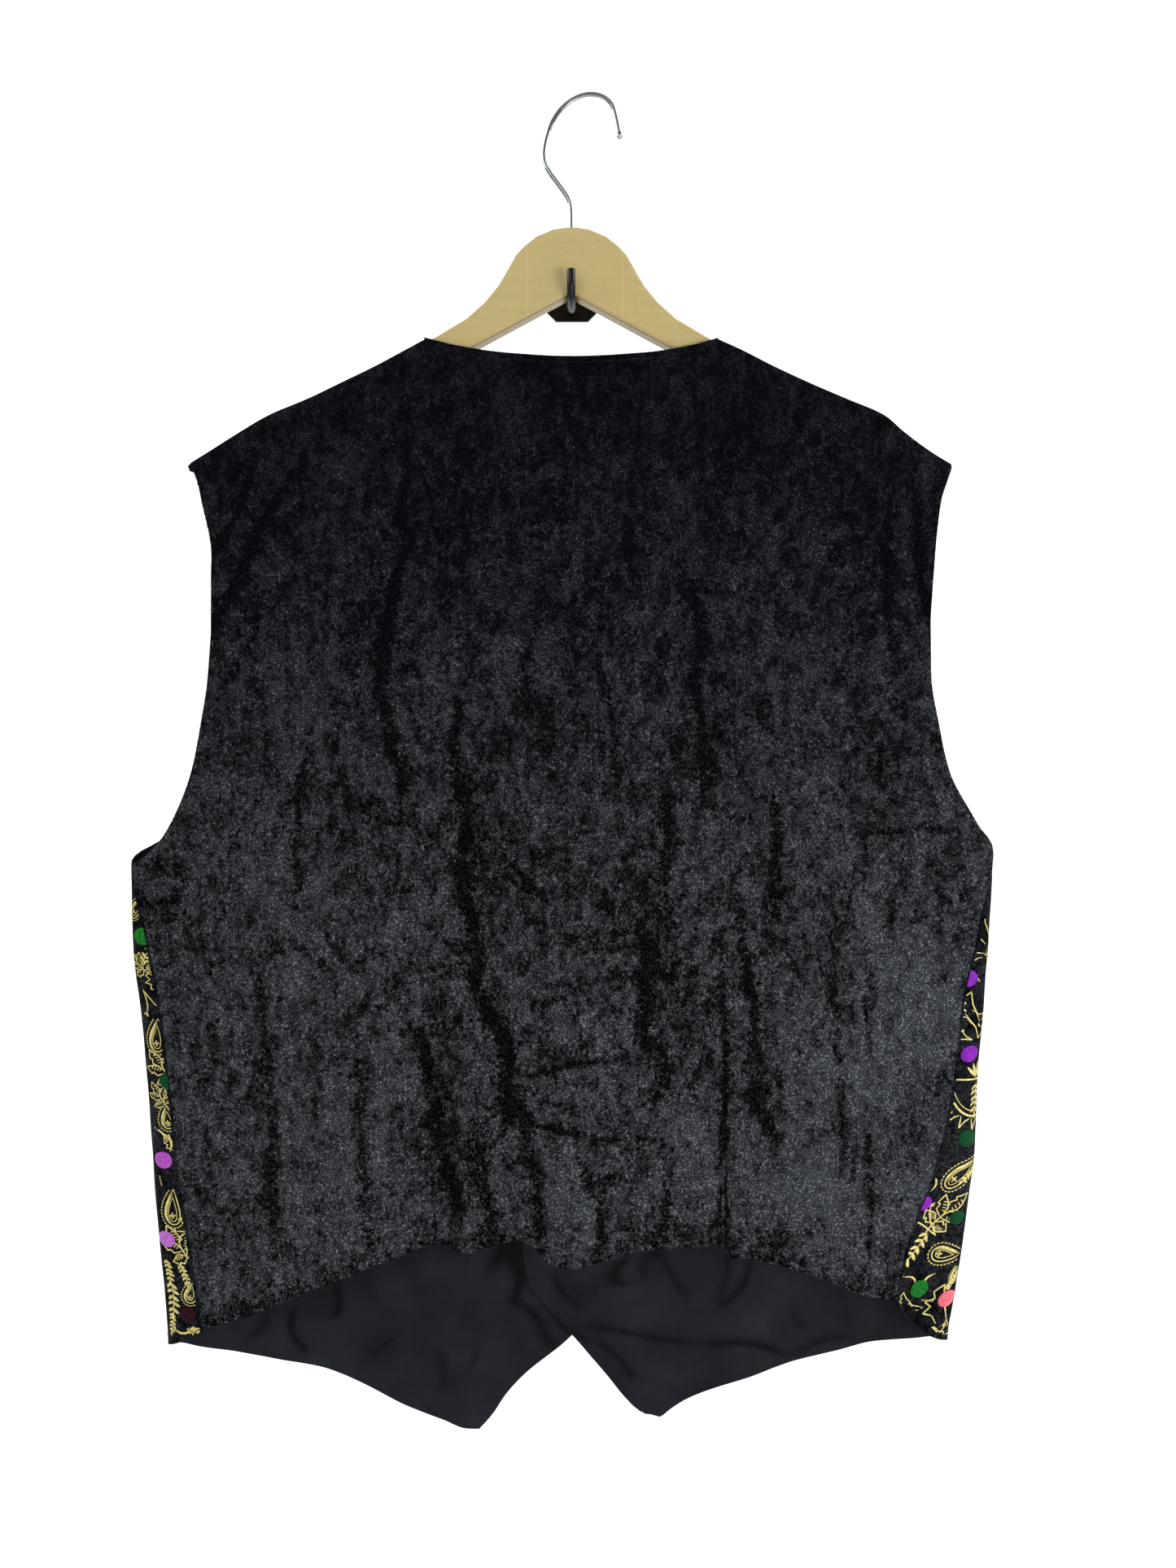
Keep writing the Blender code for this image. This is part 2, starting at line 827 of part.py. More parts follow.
def rod(name, route, radius, material):
    """A round rod along the route, whose points are x, y, z and a thickness factor."""
    curve = bpy.data.curves.new(name, "CURVE")
    curve.dimensions = "3D"
    curve.bevel_depth = radius * MM
    curve.bevel_resolution = 4
    curve.use_fill_caps = True
    spline = curve.splines.new("POLY")
    spline.points.add(len(route) - 1)
    for point, (x, y, z, factor) in zip(spline.points, route):
        point.co = (x * MM, y * MM, z * MM, 1)
        point.radius = factor
    return add_object(name, curve, material)


def button(name, z, material):
    """A turned button with a raised rim and a shallow dish, lying on the left front."""
    face = front_place(-BUTTON_X, z, -1, VELVET, OVERLAP_STEP).y + GAP
    r, t = BUTTON_RADIUS, BUTTON_THICK
    profile = ((0, 0), (r * 0.55, 0), (r * 0.92, 0.5), (r, t * 0.45), (r * 0.96, t * 0.85),
               (r * 0.84, t), (r * 0.68, t * 0.86), (r * 0.55, t * 0.62), (0, t * 0.55))
    sides = 24
    mesh = bmesh.new()
    centre = Vector((BUTTON_X, face, z))
    rings = []
    for radius, height in profile[1:-1]:
        ring = []
        for i in range(sides):
            angle = 2 * math.pi * i / sides
            offset = Vector((radius * math.cos(angle), height, radius * math.sin(angle)))
            ring.append(mesh.verts.new((centre + offset) * MM))
        rings.append(ring)
    for near, far in zip(rings, rings[1:]):
        for i in range(sides):
            j = (i + 1) % sides
            mesh.faces.new((near[i], near[j], far[j], far[i]))
    for ring, (_, height) in ((rings[0], profile[0]), (rings[-1], profile[-1])):
        hub = mesh.verts.new((centre + Vector((0, height, 0))) * MM)
        for i in range(sides):
            mesh.faces.new((ring[i], ring[(i + 1) % sides], hub))
    return finish_mesh(name, mesh, material)


def make_hanger(wood, steel):
    half = list(WOOD_TOP) + list(WOOD_UNDER)
    outline = half + [(0.0, APEX_Z)] + [(-x, z) for x, z in reversed(half)]
    front = HANGER_MIDDLE_Y - HANGER_THICK / 2
    body = extruded("hanger_body", outline, front, front + HANGER_THICK, HANGER_EDGE_ROUND, 2, wood)
    top = WOOD_TOP[0][1]
    hole = cylinder_cutter("wire_hole", WIRE_HOLE, Vector((0, HANGER_MIDDLE_Y, top - WIRE_DEPTH)),
                           Vector((0, HANGER_MIDDLE_Y, top + 5)))
    cut(body, hole)
    route = smooth_route([(x, HANGER_MIDDLE_Y, z, factor) for x, z, factor in WIRE], 2)
    rod("hanger_hook", route, WIRE_RADIUS, steel)


def make_wall_hook(paint):
    w, h, c = PLATE_WIDTH / 2, PLATE_HEIGHT / 2, PLATE_CHAMFER
    outline = [(-w + c, -h), (w - c, -h), (w, -h + c), (w, h - c),
               (w - c, h), (-w + c, h), (-w, h - c), (-w, -h + c)]
    plate = extruded("wall_hook_plate", outline, -PLATE_THICK, 0.0, PLATE_EDGE, 1, paint)
    root = Vector((0, BAR[0][0] + GAP, BAR[0][1]))
    cut(plate, cylinder_cutter("bar_socket", BAR_RADIUS + GAP, root, Vector((0, -PLATE_THICK - 4, BAR[0][1]))))
    route = smooth_route([(0.0, y, z, 1.0) for y, z in BAR], 3)
    rod("wall_hook_bar", route, BAR_RADIUS, paint)


def main():
    for obj in list(bpy.data.objects):
        bpy.data.objects.remove(obj)
    finish = {name: make_material(name) for name in MATERIALS}
    wall("back", back_grid(0.0), back_grid(VELVET), finish["velvet"])
    for side, name in ((-1, "left"), (1, "right")):
        wall("front_" + name, front_grid(side, 0.0), front_grid(side, VELVET), finish["printed_velvet"])
        wall("lining_" + name, lining_grid(side, -GAP - LINING), lining_grid(side, -GAP), finish["lining"])
    for i in range(BUTTON_COUNT):
        button(f"button_{i + 1}", BUTTON_TOP_Z - BUTTON_SPACING * i, finish["button"])
    make_hanger(finish["wood"], finish["steel"])
    make_wall_hook(finish["black_paint"])


main()
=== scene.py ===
"""Looks of a velvet vest that hangs on a wooden hanger from a wall hook.

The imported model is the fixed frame. The cloth panels are made again here as thin shells on the
same form, with their creases, seams, hems, topstitching, gold block print and spangles. Sizes in
the tables are in millimetres, in the frame's axes: +Z is up, +X is the viewer's right and -Y is
towards the viewer, who sees the vest's back.
"""

from __future__ import annotations

import json
import logging
import math
from collections.abc import Sequence
from dataclasses import dataclass
from enum import Enum

import bpy
import numpy as np
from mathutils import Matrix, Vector

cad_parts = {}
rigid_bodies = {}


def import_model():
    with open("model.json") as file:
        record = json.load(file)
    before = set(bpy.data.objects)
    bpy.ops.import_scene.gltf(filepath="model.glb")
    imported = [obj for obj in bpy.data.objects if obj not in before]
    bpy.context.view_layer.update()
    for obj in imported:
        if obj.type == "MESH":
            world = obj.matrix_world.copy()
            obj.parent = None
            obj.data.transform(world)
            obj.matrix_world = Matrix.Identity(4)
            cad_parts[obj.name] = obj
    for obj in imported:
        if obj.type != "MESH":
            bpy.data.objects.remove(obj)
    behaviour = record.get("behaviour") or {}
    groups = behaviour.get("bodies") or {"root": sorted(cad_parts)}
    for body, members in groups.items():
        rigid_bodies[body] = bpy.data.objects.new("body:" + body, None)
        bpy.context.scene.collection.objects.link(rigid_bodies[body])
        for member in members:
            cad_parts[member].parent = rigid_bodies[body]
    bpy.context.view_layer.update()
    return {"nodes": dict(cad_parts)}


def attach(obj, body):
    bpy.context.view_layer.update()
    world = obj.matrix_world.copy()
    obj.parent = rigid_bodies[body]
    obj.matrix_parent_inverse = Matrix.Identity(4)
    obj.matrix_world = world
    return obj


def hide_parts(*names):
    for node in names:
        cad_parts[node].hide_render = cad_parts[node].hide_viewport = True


MM = 0.001
LOG = logging.getLogger("vest")
Place = tuple[float, float, float]
# Sockets of a node that mixes colours: the two colours, and the mixed one
FIRST, SECOND, MIXED = 6, 7, 2

# Upper edge of the back, seen from the front: x, z. Shoulder, neck, shoulder.
TOP_EDGE = (
    (-254, -129.0), (-236, -118.0), (-217, -107.3), (-199, -97.0), (-173, -86.0), (-151, -75.4),
    (-129, -64.7), (-109, -54.0), (-96.5, -47.2), (-76, -52.2), (-44, -57.0), (0, -59.4),
    (48, -57.0), (79, -52.2), (97, -47.2), (112, -54.0), (133, -64.7), (156, -75.4),
    (181, -86.2), (206, -97.0), (218, -107.0), (234, -118.0), (252, -129.0),
)

# Hem of the back: x, z
BACK_HEM = (
    (-243, -698.0), (-207, -687.0), (-178, -674.0), (-148, -661.0), (-119, -649.5), (-89, -637.5),
    (-68, -643.5), (-50, -639.0), (-35, -636.5), (-22, -643.0), (-15, -650.0), (-1, -653.0),
    (21, -648.5), (47, -642.6), (98, -638.4), (103, -647.4), (124, -650.0), (156, -659.6),
    (190, -674.0), (213, -679.0),
)

# Armhole of the back: z, left x, right x
BACK_ARMHOLE = (
    (-129, -254, 252), (-140, -247, 248), (-156, -243, 243), (-190, -236, 239), (-237, -236, 236),
    (-269, -237.5, 235.5), (-301, -242, 240.5), (-333, -248.5, 248), (-365, -261, 265),
    (-386, -276, 277), (-395, -289, 277.5),
)

# Armhole of the fronts, cut a little deeper: z, distance out on the left, on the right
FRONT_ARMHOLE = (
    (-129, 252, 250), (-156, 239, 239), (-195, 229, 231), (-240, 227, 228), (-275, 230, 229),
    (-311, 237, 236), (-343, 247, 248), (-366, 262, 262), (-380, 279, 275),
)

# Side seam, on the outside of the cloth: z, left x, right x
SIDE_SEAM = (
    (-386, -289.0, 277.5), (-395, -289.0, 277.0), (-415, -284.0, 272.0), (-442, -278.0, 266.0),
    (-466, -273.0, 260.0), (-485, -270.0, 255.7), (-525, -265.0, 252.0), (-562, -261.0, 246.0),
    (-600, -258.0, 236.5), (-627, -253.0, 225.5), (-650, -249.3, 218.5), (-679, -245.0, 213.5),
    (-705, -241.5, 212.0),
)

# Fold where a front turns round the side: z, left x, right x
SIDE_FOLD = (
    (-120, -292.0, 279.5), (-395, -291.6, 279.5), (-430, -291.3, 277.4), (-463, -289.1, 275.0),
    (-496, -284.8, 273.1), (-528, -282.6, 269.8), (-577, -278.8, 268.2), (-626, -275.5, 262.2),
    (-675, -270.8, 255.7), (-708, -269.0, 250.5), (-790, -268.0, 250.0),
)

# Depth of the hanging vest: z, middle y, half depth at the sides, back bulge, front bulge
DEPTH = (
    (-40, -32.0, 6.4, 0.0, 0.0), (-130, -32.0, 6.4, 0.6, 0.4), (-220, -31.5, 7.2, 4.0, 2.0),
    (-330, -30.6, 8.8, 8.5, 3.5), (-450, -29.4, 9.8, 12.0, 5.0), (-570, -28.0, 10.0, 12.5, 6.0),
    (-700, -26.5, 10.0, 10.5, 6.0), (-790, -26.0, 10.0, 9.0, 5.0),
)

# Neck and closing edge of the left front: z, x
LEFT_CLOSING = (
    (-47, -97.0), (-60, -95.5), (-90, -89.0), (-140, -76.0), (-200, -57.0), (-260, -34.0),
    (-310, -10.0), (-345, 12.0), (-368, 25.0), (-392, 31.5), (-520, 31.5), (-660, 31.5),
    (-680, 29.0), (-692, 23.0), (-722, -5.3), (-743, -31.8), (-758, -45.7), (-770, -54.0),
    (-779.4, -63.0),
)

# The same edge of the right front: z, x
RIGHT_CLOSING = (
    (-47, 97.0), (-60, 95.5), (-90, 88.0), (-140, 75.0), (-200, 55.5), (-260, 32.0),
    (-310, 8.0), (-345, -14.0), (-368, -27.5), (-392, -34.5), (-520, -34.5), (-652, -34.5),
    (-672, -32.5), (-684, -27.0), (-720.5, 5.0), (-742, 23.4), (-758.5, 37.1), (-768, 48.0),
    (-771, 60.0),
)

# Hem of the left front: distance out along the cloth, z
LEFT_HEM = (
    (63, -779.4), (73, -778.4), (87, -772.7), (115, -762.0), (142, -748.0), (170, -736.0),
    (198, -730.0), (225, -724.5), (257, -719.0), (273, -713.5), (289, -708.0), (306, -700.5),
)

# The same hem of the right front
RIGHT_HEM = (
    (60, -771.0), (66, -766.0), (78, -758.5), (92, -752.4), (120, -742.5), (147, -732.0),
    (175, -724.3), (202, -716.8), (230, -714.0), (242, -712.0), (254, -708.0), (270, -702.0),
    (283, -692.0), (297, -683.0),
)

# Darts of the back: top z, x where it starts, x at the hem, half width, depth
DARTS = (
    (-452.0, -97.0, -88.5, 5.0, 1.6),
    (-446.0, 100.0, 100.5, 4.5, 2.0),
)

# Large folds of the back: top x, top z, bottom x, bottom z, half width, depth inwards
BACK_FOLDS = (
    (-117, -205, -105, -360, 15, 3.2), (-76, -290, -59, -490, 17, 5.0),
    (-56, -470, -26, -650, 14, 6.0), (-88, -470, -80, -650, 12, 4.5),
    (-68, -500, -66, -660, 8, -2.5), (-4, -470, 2, -665, 20, -4.5),
    (43, -325, 65, -535, 17, 3.8), (116, -378, 131, -585, 16, 3.6),
    (160, -330, 168, -600, 24, -2.2), (-168, -360, -172, -640, 26, -2.4),
    (-222, -132, -196, -300, 10, 2.0), (226, -130, 236, -255, 9, 2.2),
)

# Large folds of the fronts: top x, top z, bottom x, bottom z, half width, depth
FRONT_FOLDS = (
    (-205, -135, -150, -420, 20, -2.0), (-150, -420, -140, -740, 22, 3.0),
    (-215, -430, -205, -700, 18, -2.6), (205, -135, 160, -400, 20, -2.2),
    (150, -430, 118, -735, 22, -2.6), (210, -440, 196, -690, 18, 2.6),
)

# Fine creases of the back: x0, z0, x1, z1, half width, depth inwards
BACK_CREASES = (
    (-118, -212, -108, -330, 3.6, 1.3), (-77, -295, -62, -470, 4.2, 2.0),
    (-62, -460, -42, -528, 4.0, 1.9), (-42, -528, -28, -584, 4.2, 2.0),
    (-28, -584, -16, -634, 3.6, 1.6), (-89, -478, -78, -640, 3.4, 1.5),
    (44, -334, 60, -520, 4.0, 1.5), (117, -383, 131, -575, 3.8, 1.5),
    (-46, -387, -14, -413, 2.6, 0.9), (-32, -486, 24, -465, 2.6, 0.9),
    (24, -465, 83, -463, 2.6, 0.55), (-36, -528, 35, -517, 2.6, 0.8),
    (-34, -560, 35, -570, 2.6, 0.8), (35, -570, 77, -574, 2.6, 0.6),
    (0, -602, 33, -592, 2.6, 0.8), (-32, -576, -8, -601, 2.6, 0.9),
    (-14, -420, 12, -398, 2.4, 0.7), (-176, -126, -243, -248, 4.0, 0.9),
    (-205, -124, -240, -205, 3.0, 0.8), (225, -147, 234, -236, 3.0, 1.6),
    (206, -147, 209, -253, 3.4, 0.9), (-282, -414, -256, -420, 2.0, 1.1),
    (-278, -427, -268, -428, 1.6, 0.9), (190, -369, 254, -372, 2.4, 1.0),
    (-150, -250, -132, -420, 5.0, -0.8), (20, -200, 34, -330, 6.0, 0.7),
    (-14, -190, -22, -300, 5.0, -0.6), (86, -300, 96, -440, 4.5, 0.8),
    (168, -420, 176, -600, 5.0, 0.8), (-200, -440, -196, -640, 5.0, 0.8),
    (8, -560, 20, -640, 4.0, 1.1), (60, -560, 64, -636, 3.6, 0.9),
    (-140, -520, -128, -650, 5.0, 0.9), (196, -560, 192, -660, 4.0, 0.7),
)

# Painted shade where folds and creases of the back turn the pile away from the eye, painted light
# where the share is negative: x0, z0, x1, z1, half, share
BACK_PAINTED_SHADING = (
    (-70, -345, -62, -460, 4.0, 1.5), (-62, -460, -42, -528, 4.0, 1.5),
    (-42, -528, -28, -584, 4.6, 1.5), (-28, -584, -16, -634, 3.3, 1.4),
    (-46, -492, -36, -568, 3.3, 1.2), (-56, -560, -58, -640, 5.9, 0.8),
    (-104, -492, -88, -540, 2.6, 1.3), (-88, -540, -74, -622, 3.0, 1.4),
    (61, -350, 65, -432, 2.6, 1.1), (41, -432, 53, -520, 4.3, 1.0),
    (53, -505, 61, -545, 4.6, 1.1), (129, -340, 135, -424, 2.3, 1.3),
    (114, -425, 119, -532, 2.6, 1.4), (119, -532, 126, -568, 3.0, 1.2),
    (97, -440, 98, -640, 2.0, 1.0), (-46, -387, -14, -413, 1.7, 0.8),
    (-32, -486, 24, -465, 1.6, 0.7), (24, -465, 83, -463, 1.5, 0.6),
    (-36, -528, 35, -517, 1.7, 0.8), (-34, -560, 35, -570, 1.7, 0.8),
    (35, -570, 77, -574, 1.5, 0.6), (0, -602, 33, -592, 1.7, 0.7), (-28, -540, 8, -552, 1.5, 0.6),
    (-32, -576, -8, -601, 1.8, 0.8), (-12, -440, 36, -436, 1.6, 0.6),
    (-110, -92, -108, -176, 2.6, 0.9), (-108, -176, -124, -268, 3.3, 1.0),
    (-124, -268, -110, -360, 3.6, 1.2), (-77, -284, -71, -352, 3.3, 1.2),
    (77, -196, 83, -268, 4.0, 0.9), (83, -268, 85, -350, 3.0, 0.9),
    (37, -160, 41, -214, 2.6, 0.8), (-176, -126, -243, -248, 2.5, 0.9),
    (-205, -124, -240, -205, 2.2, 0.8), (225, -147, 234, -236, 2.2, 1.3),
    (206, -147, 209, -253, 2.4, 0.9), (190, -369, 254, -372, 1.8, 0.55),
    (-282, -414, -256, -420, 1.9, 1.1), (-170, -300, -180, -430, 2.6, 0.6),
    (170, -420, 176, -600, 2.6, 0.7), (-200, -440, -196, -640, 3.3, 0.6),
    (8, -575, 20, -640, 2.9, 0.9), (60, -575, 64, -636, 2.7, 0.8),
    (-140, -520, -128, -650, 2.9, 0.8), (196, -560, 192, -660, 2.4, 0.7),
    (20, -250, 30, -345, 3.0, 0.6), (-20, -210, -30, -300, 3.3, 0.5),
    (-190, -450, -180, -650, 46.0, 0.08), (205, -440, 190, -630, 40.0, -0.30),
    (-16, -360, -6, -600, 52.0, 0.16),
)

# Fine creases of the fronts: x0, z0, x1, z1, half width, depth inwards
FRONT_CREASES = (
    (-176, -128, -120, -300, 5.0, 0.8), (-206, -126, -222, -240, 3.6, 0.9),
    (-120, -330, -96, -520, 5.0, 0.7), (-60, -400, -52, -600, 4.0, 0.6),
    (-190, -420, -176, -640, 4.6, 0.9), (176, -128, 128, -290, 5.0, 0.8),
    (204, -126, 220, -236, 3.6, 0.9), (122, -330, 92, -540, 5.0, 0.7),
    (70, -420, 58, -610, 4.0, 0.6), (184, -410, 190, -650, 4.6, 0.9),
    (24, -620, 96, -650, 4.0, 0.8), (-30, -640, -110, -668, 4.0, 0.7),
)


def ease(value: np.ndarray) -> np.ndarray:
    """Smooth step from 0 to 1."""
    value = np.clip(value, 0.0, 1.0)
    return value * value * (3.0 - 2.0 * value)


def bell(value: np.ndarray) -> np.ndarray:
    """Soft bump of height 1 and width 1 either side of 0."""
    return np.exp(-value * value)


def linear(code: str) -> tuple[float, float, float, float]:
    """Turn an sRGB hex colour into linear light.

    Args:
        code: Six hex digits after a number sign.

    Returns:
        Linear red, green, blue and an alpha of 1.
    """
    parts = [int(code[i:i + 2], 16) / 255 for i in (1, 3, 5)]
    light = [p / 12.92 if p <= 0.04045 else ((p + 0.055) / 1.055) ** 2.4 for p in parts]
    return (*light, 1.0)


def per_metre(size: float) -> float:
    """Texture scale for features of a size in millimetres."""
    return 1.0 / (size * MM)


def fill(tree: bpy.types.NodeTree, node: bpy.types.Node, inputs: dict[str | int, object]) -> None:
    """Fill sockets of a node.

    Args:
        tree: Tree of the node.
        node: The node.
        inputs: Socket names or numbers, each with a value, the socket that feeds it, or the node
            whose first output feeds it.
    """
    for name, value in inputs.items():
        if isinstance(value, bpy.types.Node):
            value = value.outputs[0]
        if isinstance(value, bpy.types.NodeSocket):
            tree.links.new(value, node.inputs[name])
        else:
            node.inputs[name].default_value = value


def add_node(tree: bpy.types.NodeTree, kind: str, inputs: dict[str | int, object] | None = None,
             **settings: object) -> bpy.types.Node:
    """Add a node, set its options and fill its sockets.

    Args:
        tree: Node tree that gets the node.
        kind: Type of the node.
        inputs: What fills its sockets, as in fill.
        settings: Options of the node by name.

    Returns:
        The new node.
    """
    made = tree.nodes.new(kind)
    for name, value in settings.items():
        setattr(made, name, value)
    fill(tree, made, inputs or {})
    return made


class Side(Enum):
    """A side of the vest, as the viewer of its back sees it."""

    LEFT = -1
    RIGHT = 1

    @property
    def sign(self) -> float:
        """Minus one on the left, one on the right."""
        return float(self.value)

    @property
    def label(self) -> str:
        """The side's name in small letters."""
        return self.name.lower()


class Curve:
    """A smooth curve through the rows of a table that never overshoots them."""

    def __init__(self, rows: Sequence[Sequence[float]]) -> None:
        """Keep the rows in rising order of their key.

        Args:
            rows: Rows of a key and one or more values.
        """
        table = np.array(sorted(rows), float)
        self.keys = table[:, 0]
        self.columns = table[:, 1:].T
        self.slopes = [self._slopes(column) for column in self.columns]

    def _slopes(self, values: np.ndarray) -> np.ndarray:
        """Slopes at the rows, level where the values turn back.

        Args:
            values: One column of the table.

        Returns:
            One slope for each row.
        """
        steps = np.diff(values) / np.diff(self.keys)
        before, after = steps[:-1], steps[1:]
        same = before * after > 0
        whole = np.where(same, before + after, 1.0)
        middle = np.where(same, 2.0 * before * after / whole, 0.0)
        return np.concatenate(([steps[0]], middle, [steps[-1]]))

    def read(self, key: np.ndarray | float, column: int = 0) -> np.ndarray:
        """Read a column at the keys, held level beyond the table's ends.

        Args:
            key: Where to read.
            column: Number of the value column.

        Returns:
            The values at the keys.
        """
        key = np.clip(key, self.keys[0], self.keys[-1])
        i = np.clip(np.searchsorted(self.keys, key, side="left") - 1, 0, len(self.keys) - 2)
        width = self.keys[i + 1] - self.keys[i]
        t = (key - self.keys[i]) / width
        values, slopes = self.columns[column], self.slopes[column]
        return (values[i] * (2 * t**3 - 3 * t**2 + 1) + values[i + 1] * (3 * t**2 - 2 * t**3)
                + slopes[i] * width * (t**3 - 2 * t**2 + t)
                + slopes[i + 1] * width * (t**3 - t**2))


class CorneredCurve:
    """Several curves end to end, so that the corners between them stay sharp."""

    def __init__(self, rows: Sequence[Sequence[float]], corners: Sequence[float]) -> None:
        """Split the table at its corners.

        Args:
            rows: Rows of a key and one value.
            corners: Keys of the corner rows.
        """
        cuts = [-math.inf, *sorted(corners), math.inf]
        self.highs = cuts[1:]
        self.curves = [Curve([r for r in rows if a <= r[0] <= b]) for a, b in zip(cuts, cuts[1:])]

    def read(self, key: np.ndarray | float) -> np.ndarray:
        """Read the value at the keys.

        Args:
            key: Where to read.

        Returns:
            The values at the keys.
        """
        key = np.asarray(key, float)
        result = self.curves[-1].read(key)
        for curve, high in reversed(list(zip(self.curves, self.highs))[:-1]):
            result = np.where(key <= high, curve.read(key), result)
        return result


TOP = CorneredCurve(TOP_EDGE, (-96.5, 97))
HEM = CorneredCurve(BACK_HEM, (-89, 98, 103))
ARMHOLE = Curve(BACK_ARMHOLE)
FRONT_ARM = Curve(FRONT_ARMHOLE)
SEAM = Curve(SIDE_SEAM)
FOLD = Curve(SIDE_FOLD)
SECTION = Curve(DEPTH)
CLOSING = {Side.LEFT: Curve(LEFT_CLOSING), Side.RIGHT: Curve(RIGHT_CLOSING)}
FRONT_HEM = {Side.LEFT: Curve(LEFT_HEM), Side.RIGHT: Curve(RIGHT_HEM)}
PIT_Z = {Side.LEFT: -395.0, Side.RIGHT: -386.0}
# Distance out of the shoulders' tips
TIP_OUT = {Side.LEFT: 254.0, Side.RIGHT: 252.0}
BUTTON_X = 8.0
BUTTON_HEIGHTS = (-372.0, -464.0, -556.0, -648.0)
BUTTON_RADIUS = 9.0
ARMHOLE_LIFT = {Side.LEFT: 0.0, Side.RIGHT: 6.0}
COLUMN = {Side.LEFT: 0, Side.RIGHT: 1}


def crease_depth(creases: Sequence[Sequence[float]], x: np.ndarray, z: np.ndarray) -> np.ndarray:
    """Depth of straight fine creases that fade out at both ends.

    Args:
        creases: Rows of x0, z0, x1, z1, half width and depth.
        x: Place across the cloth.
        z: Height.

    Returns:
        The depth inwards at each place.
    """
    total = np.zeros(np.broadcast(x, z).shape)
    for x0, z0, x1, z1, half_width, depth in creases:
        run = math.hypot(x1 - x0, z1 - z0)
        ux, uz = (x1 - x0) / run, (z1 - z0) / run
        along = ((x - x0) * ux + (z - z0) * uz) / run
        # A slow wander keeps a crease from lying dead straight
        wander = half_width * 0.9 * np.sin(along * 5.0 + x0)
        across = ((x - x0) * -uz + (z - z0) * ux + wander) / half_width
        fade = ease((along + 0.12) / 0.3) * ease((1.12 - along) / 0.3)
        total += depth * fade * bell(across)
    return total


@dataclass(frozen=True)
class Crumple:
    """Soft unevenness of crushed cloth, longer down the cloth than across it."""

    seed: int
    height: float
    shortest: float = 15.0
    longest: float = 80.0
    stretch: float = 2.0
    waves: int = 30

    def lift(self, x: np.ndarray, z: np.ndarray) -> np.ndarray:
        """Height of the unevenness above or below the smooth cloth.

        Args:
            x: Place across the cloth.
            z: Height.

        Returns:
            The lift at each place.
        """
        chance = np.random.default_rng(self.seed)
        total = np.zeros(np.broadcast(x, z).shape)
        for _ in range(self.waves):
            length = self.shortest * (self.longest / self.shortest) ** chance.random()
            angle, phase = chance.uniform(0, math.pi), chance.uniform(0, math.tau)
            run = x * math.cos(angle) + z * math.sin(angle) / self.stretch
            total += (length / self.longest) ** 0.6 * np.sin(run * math.tau / length + phase)
        return self.height * total / math.sqrt(self.waves / 2)


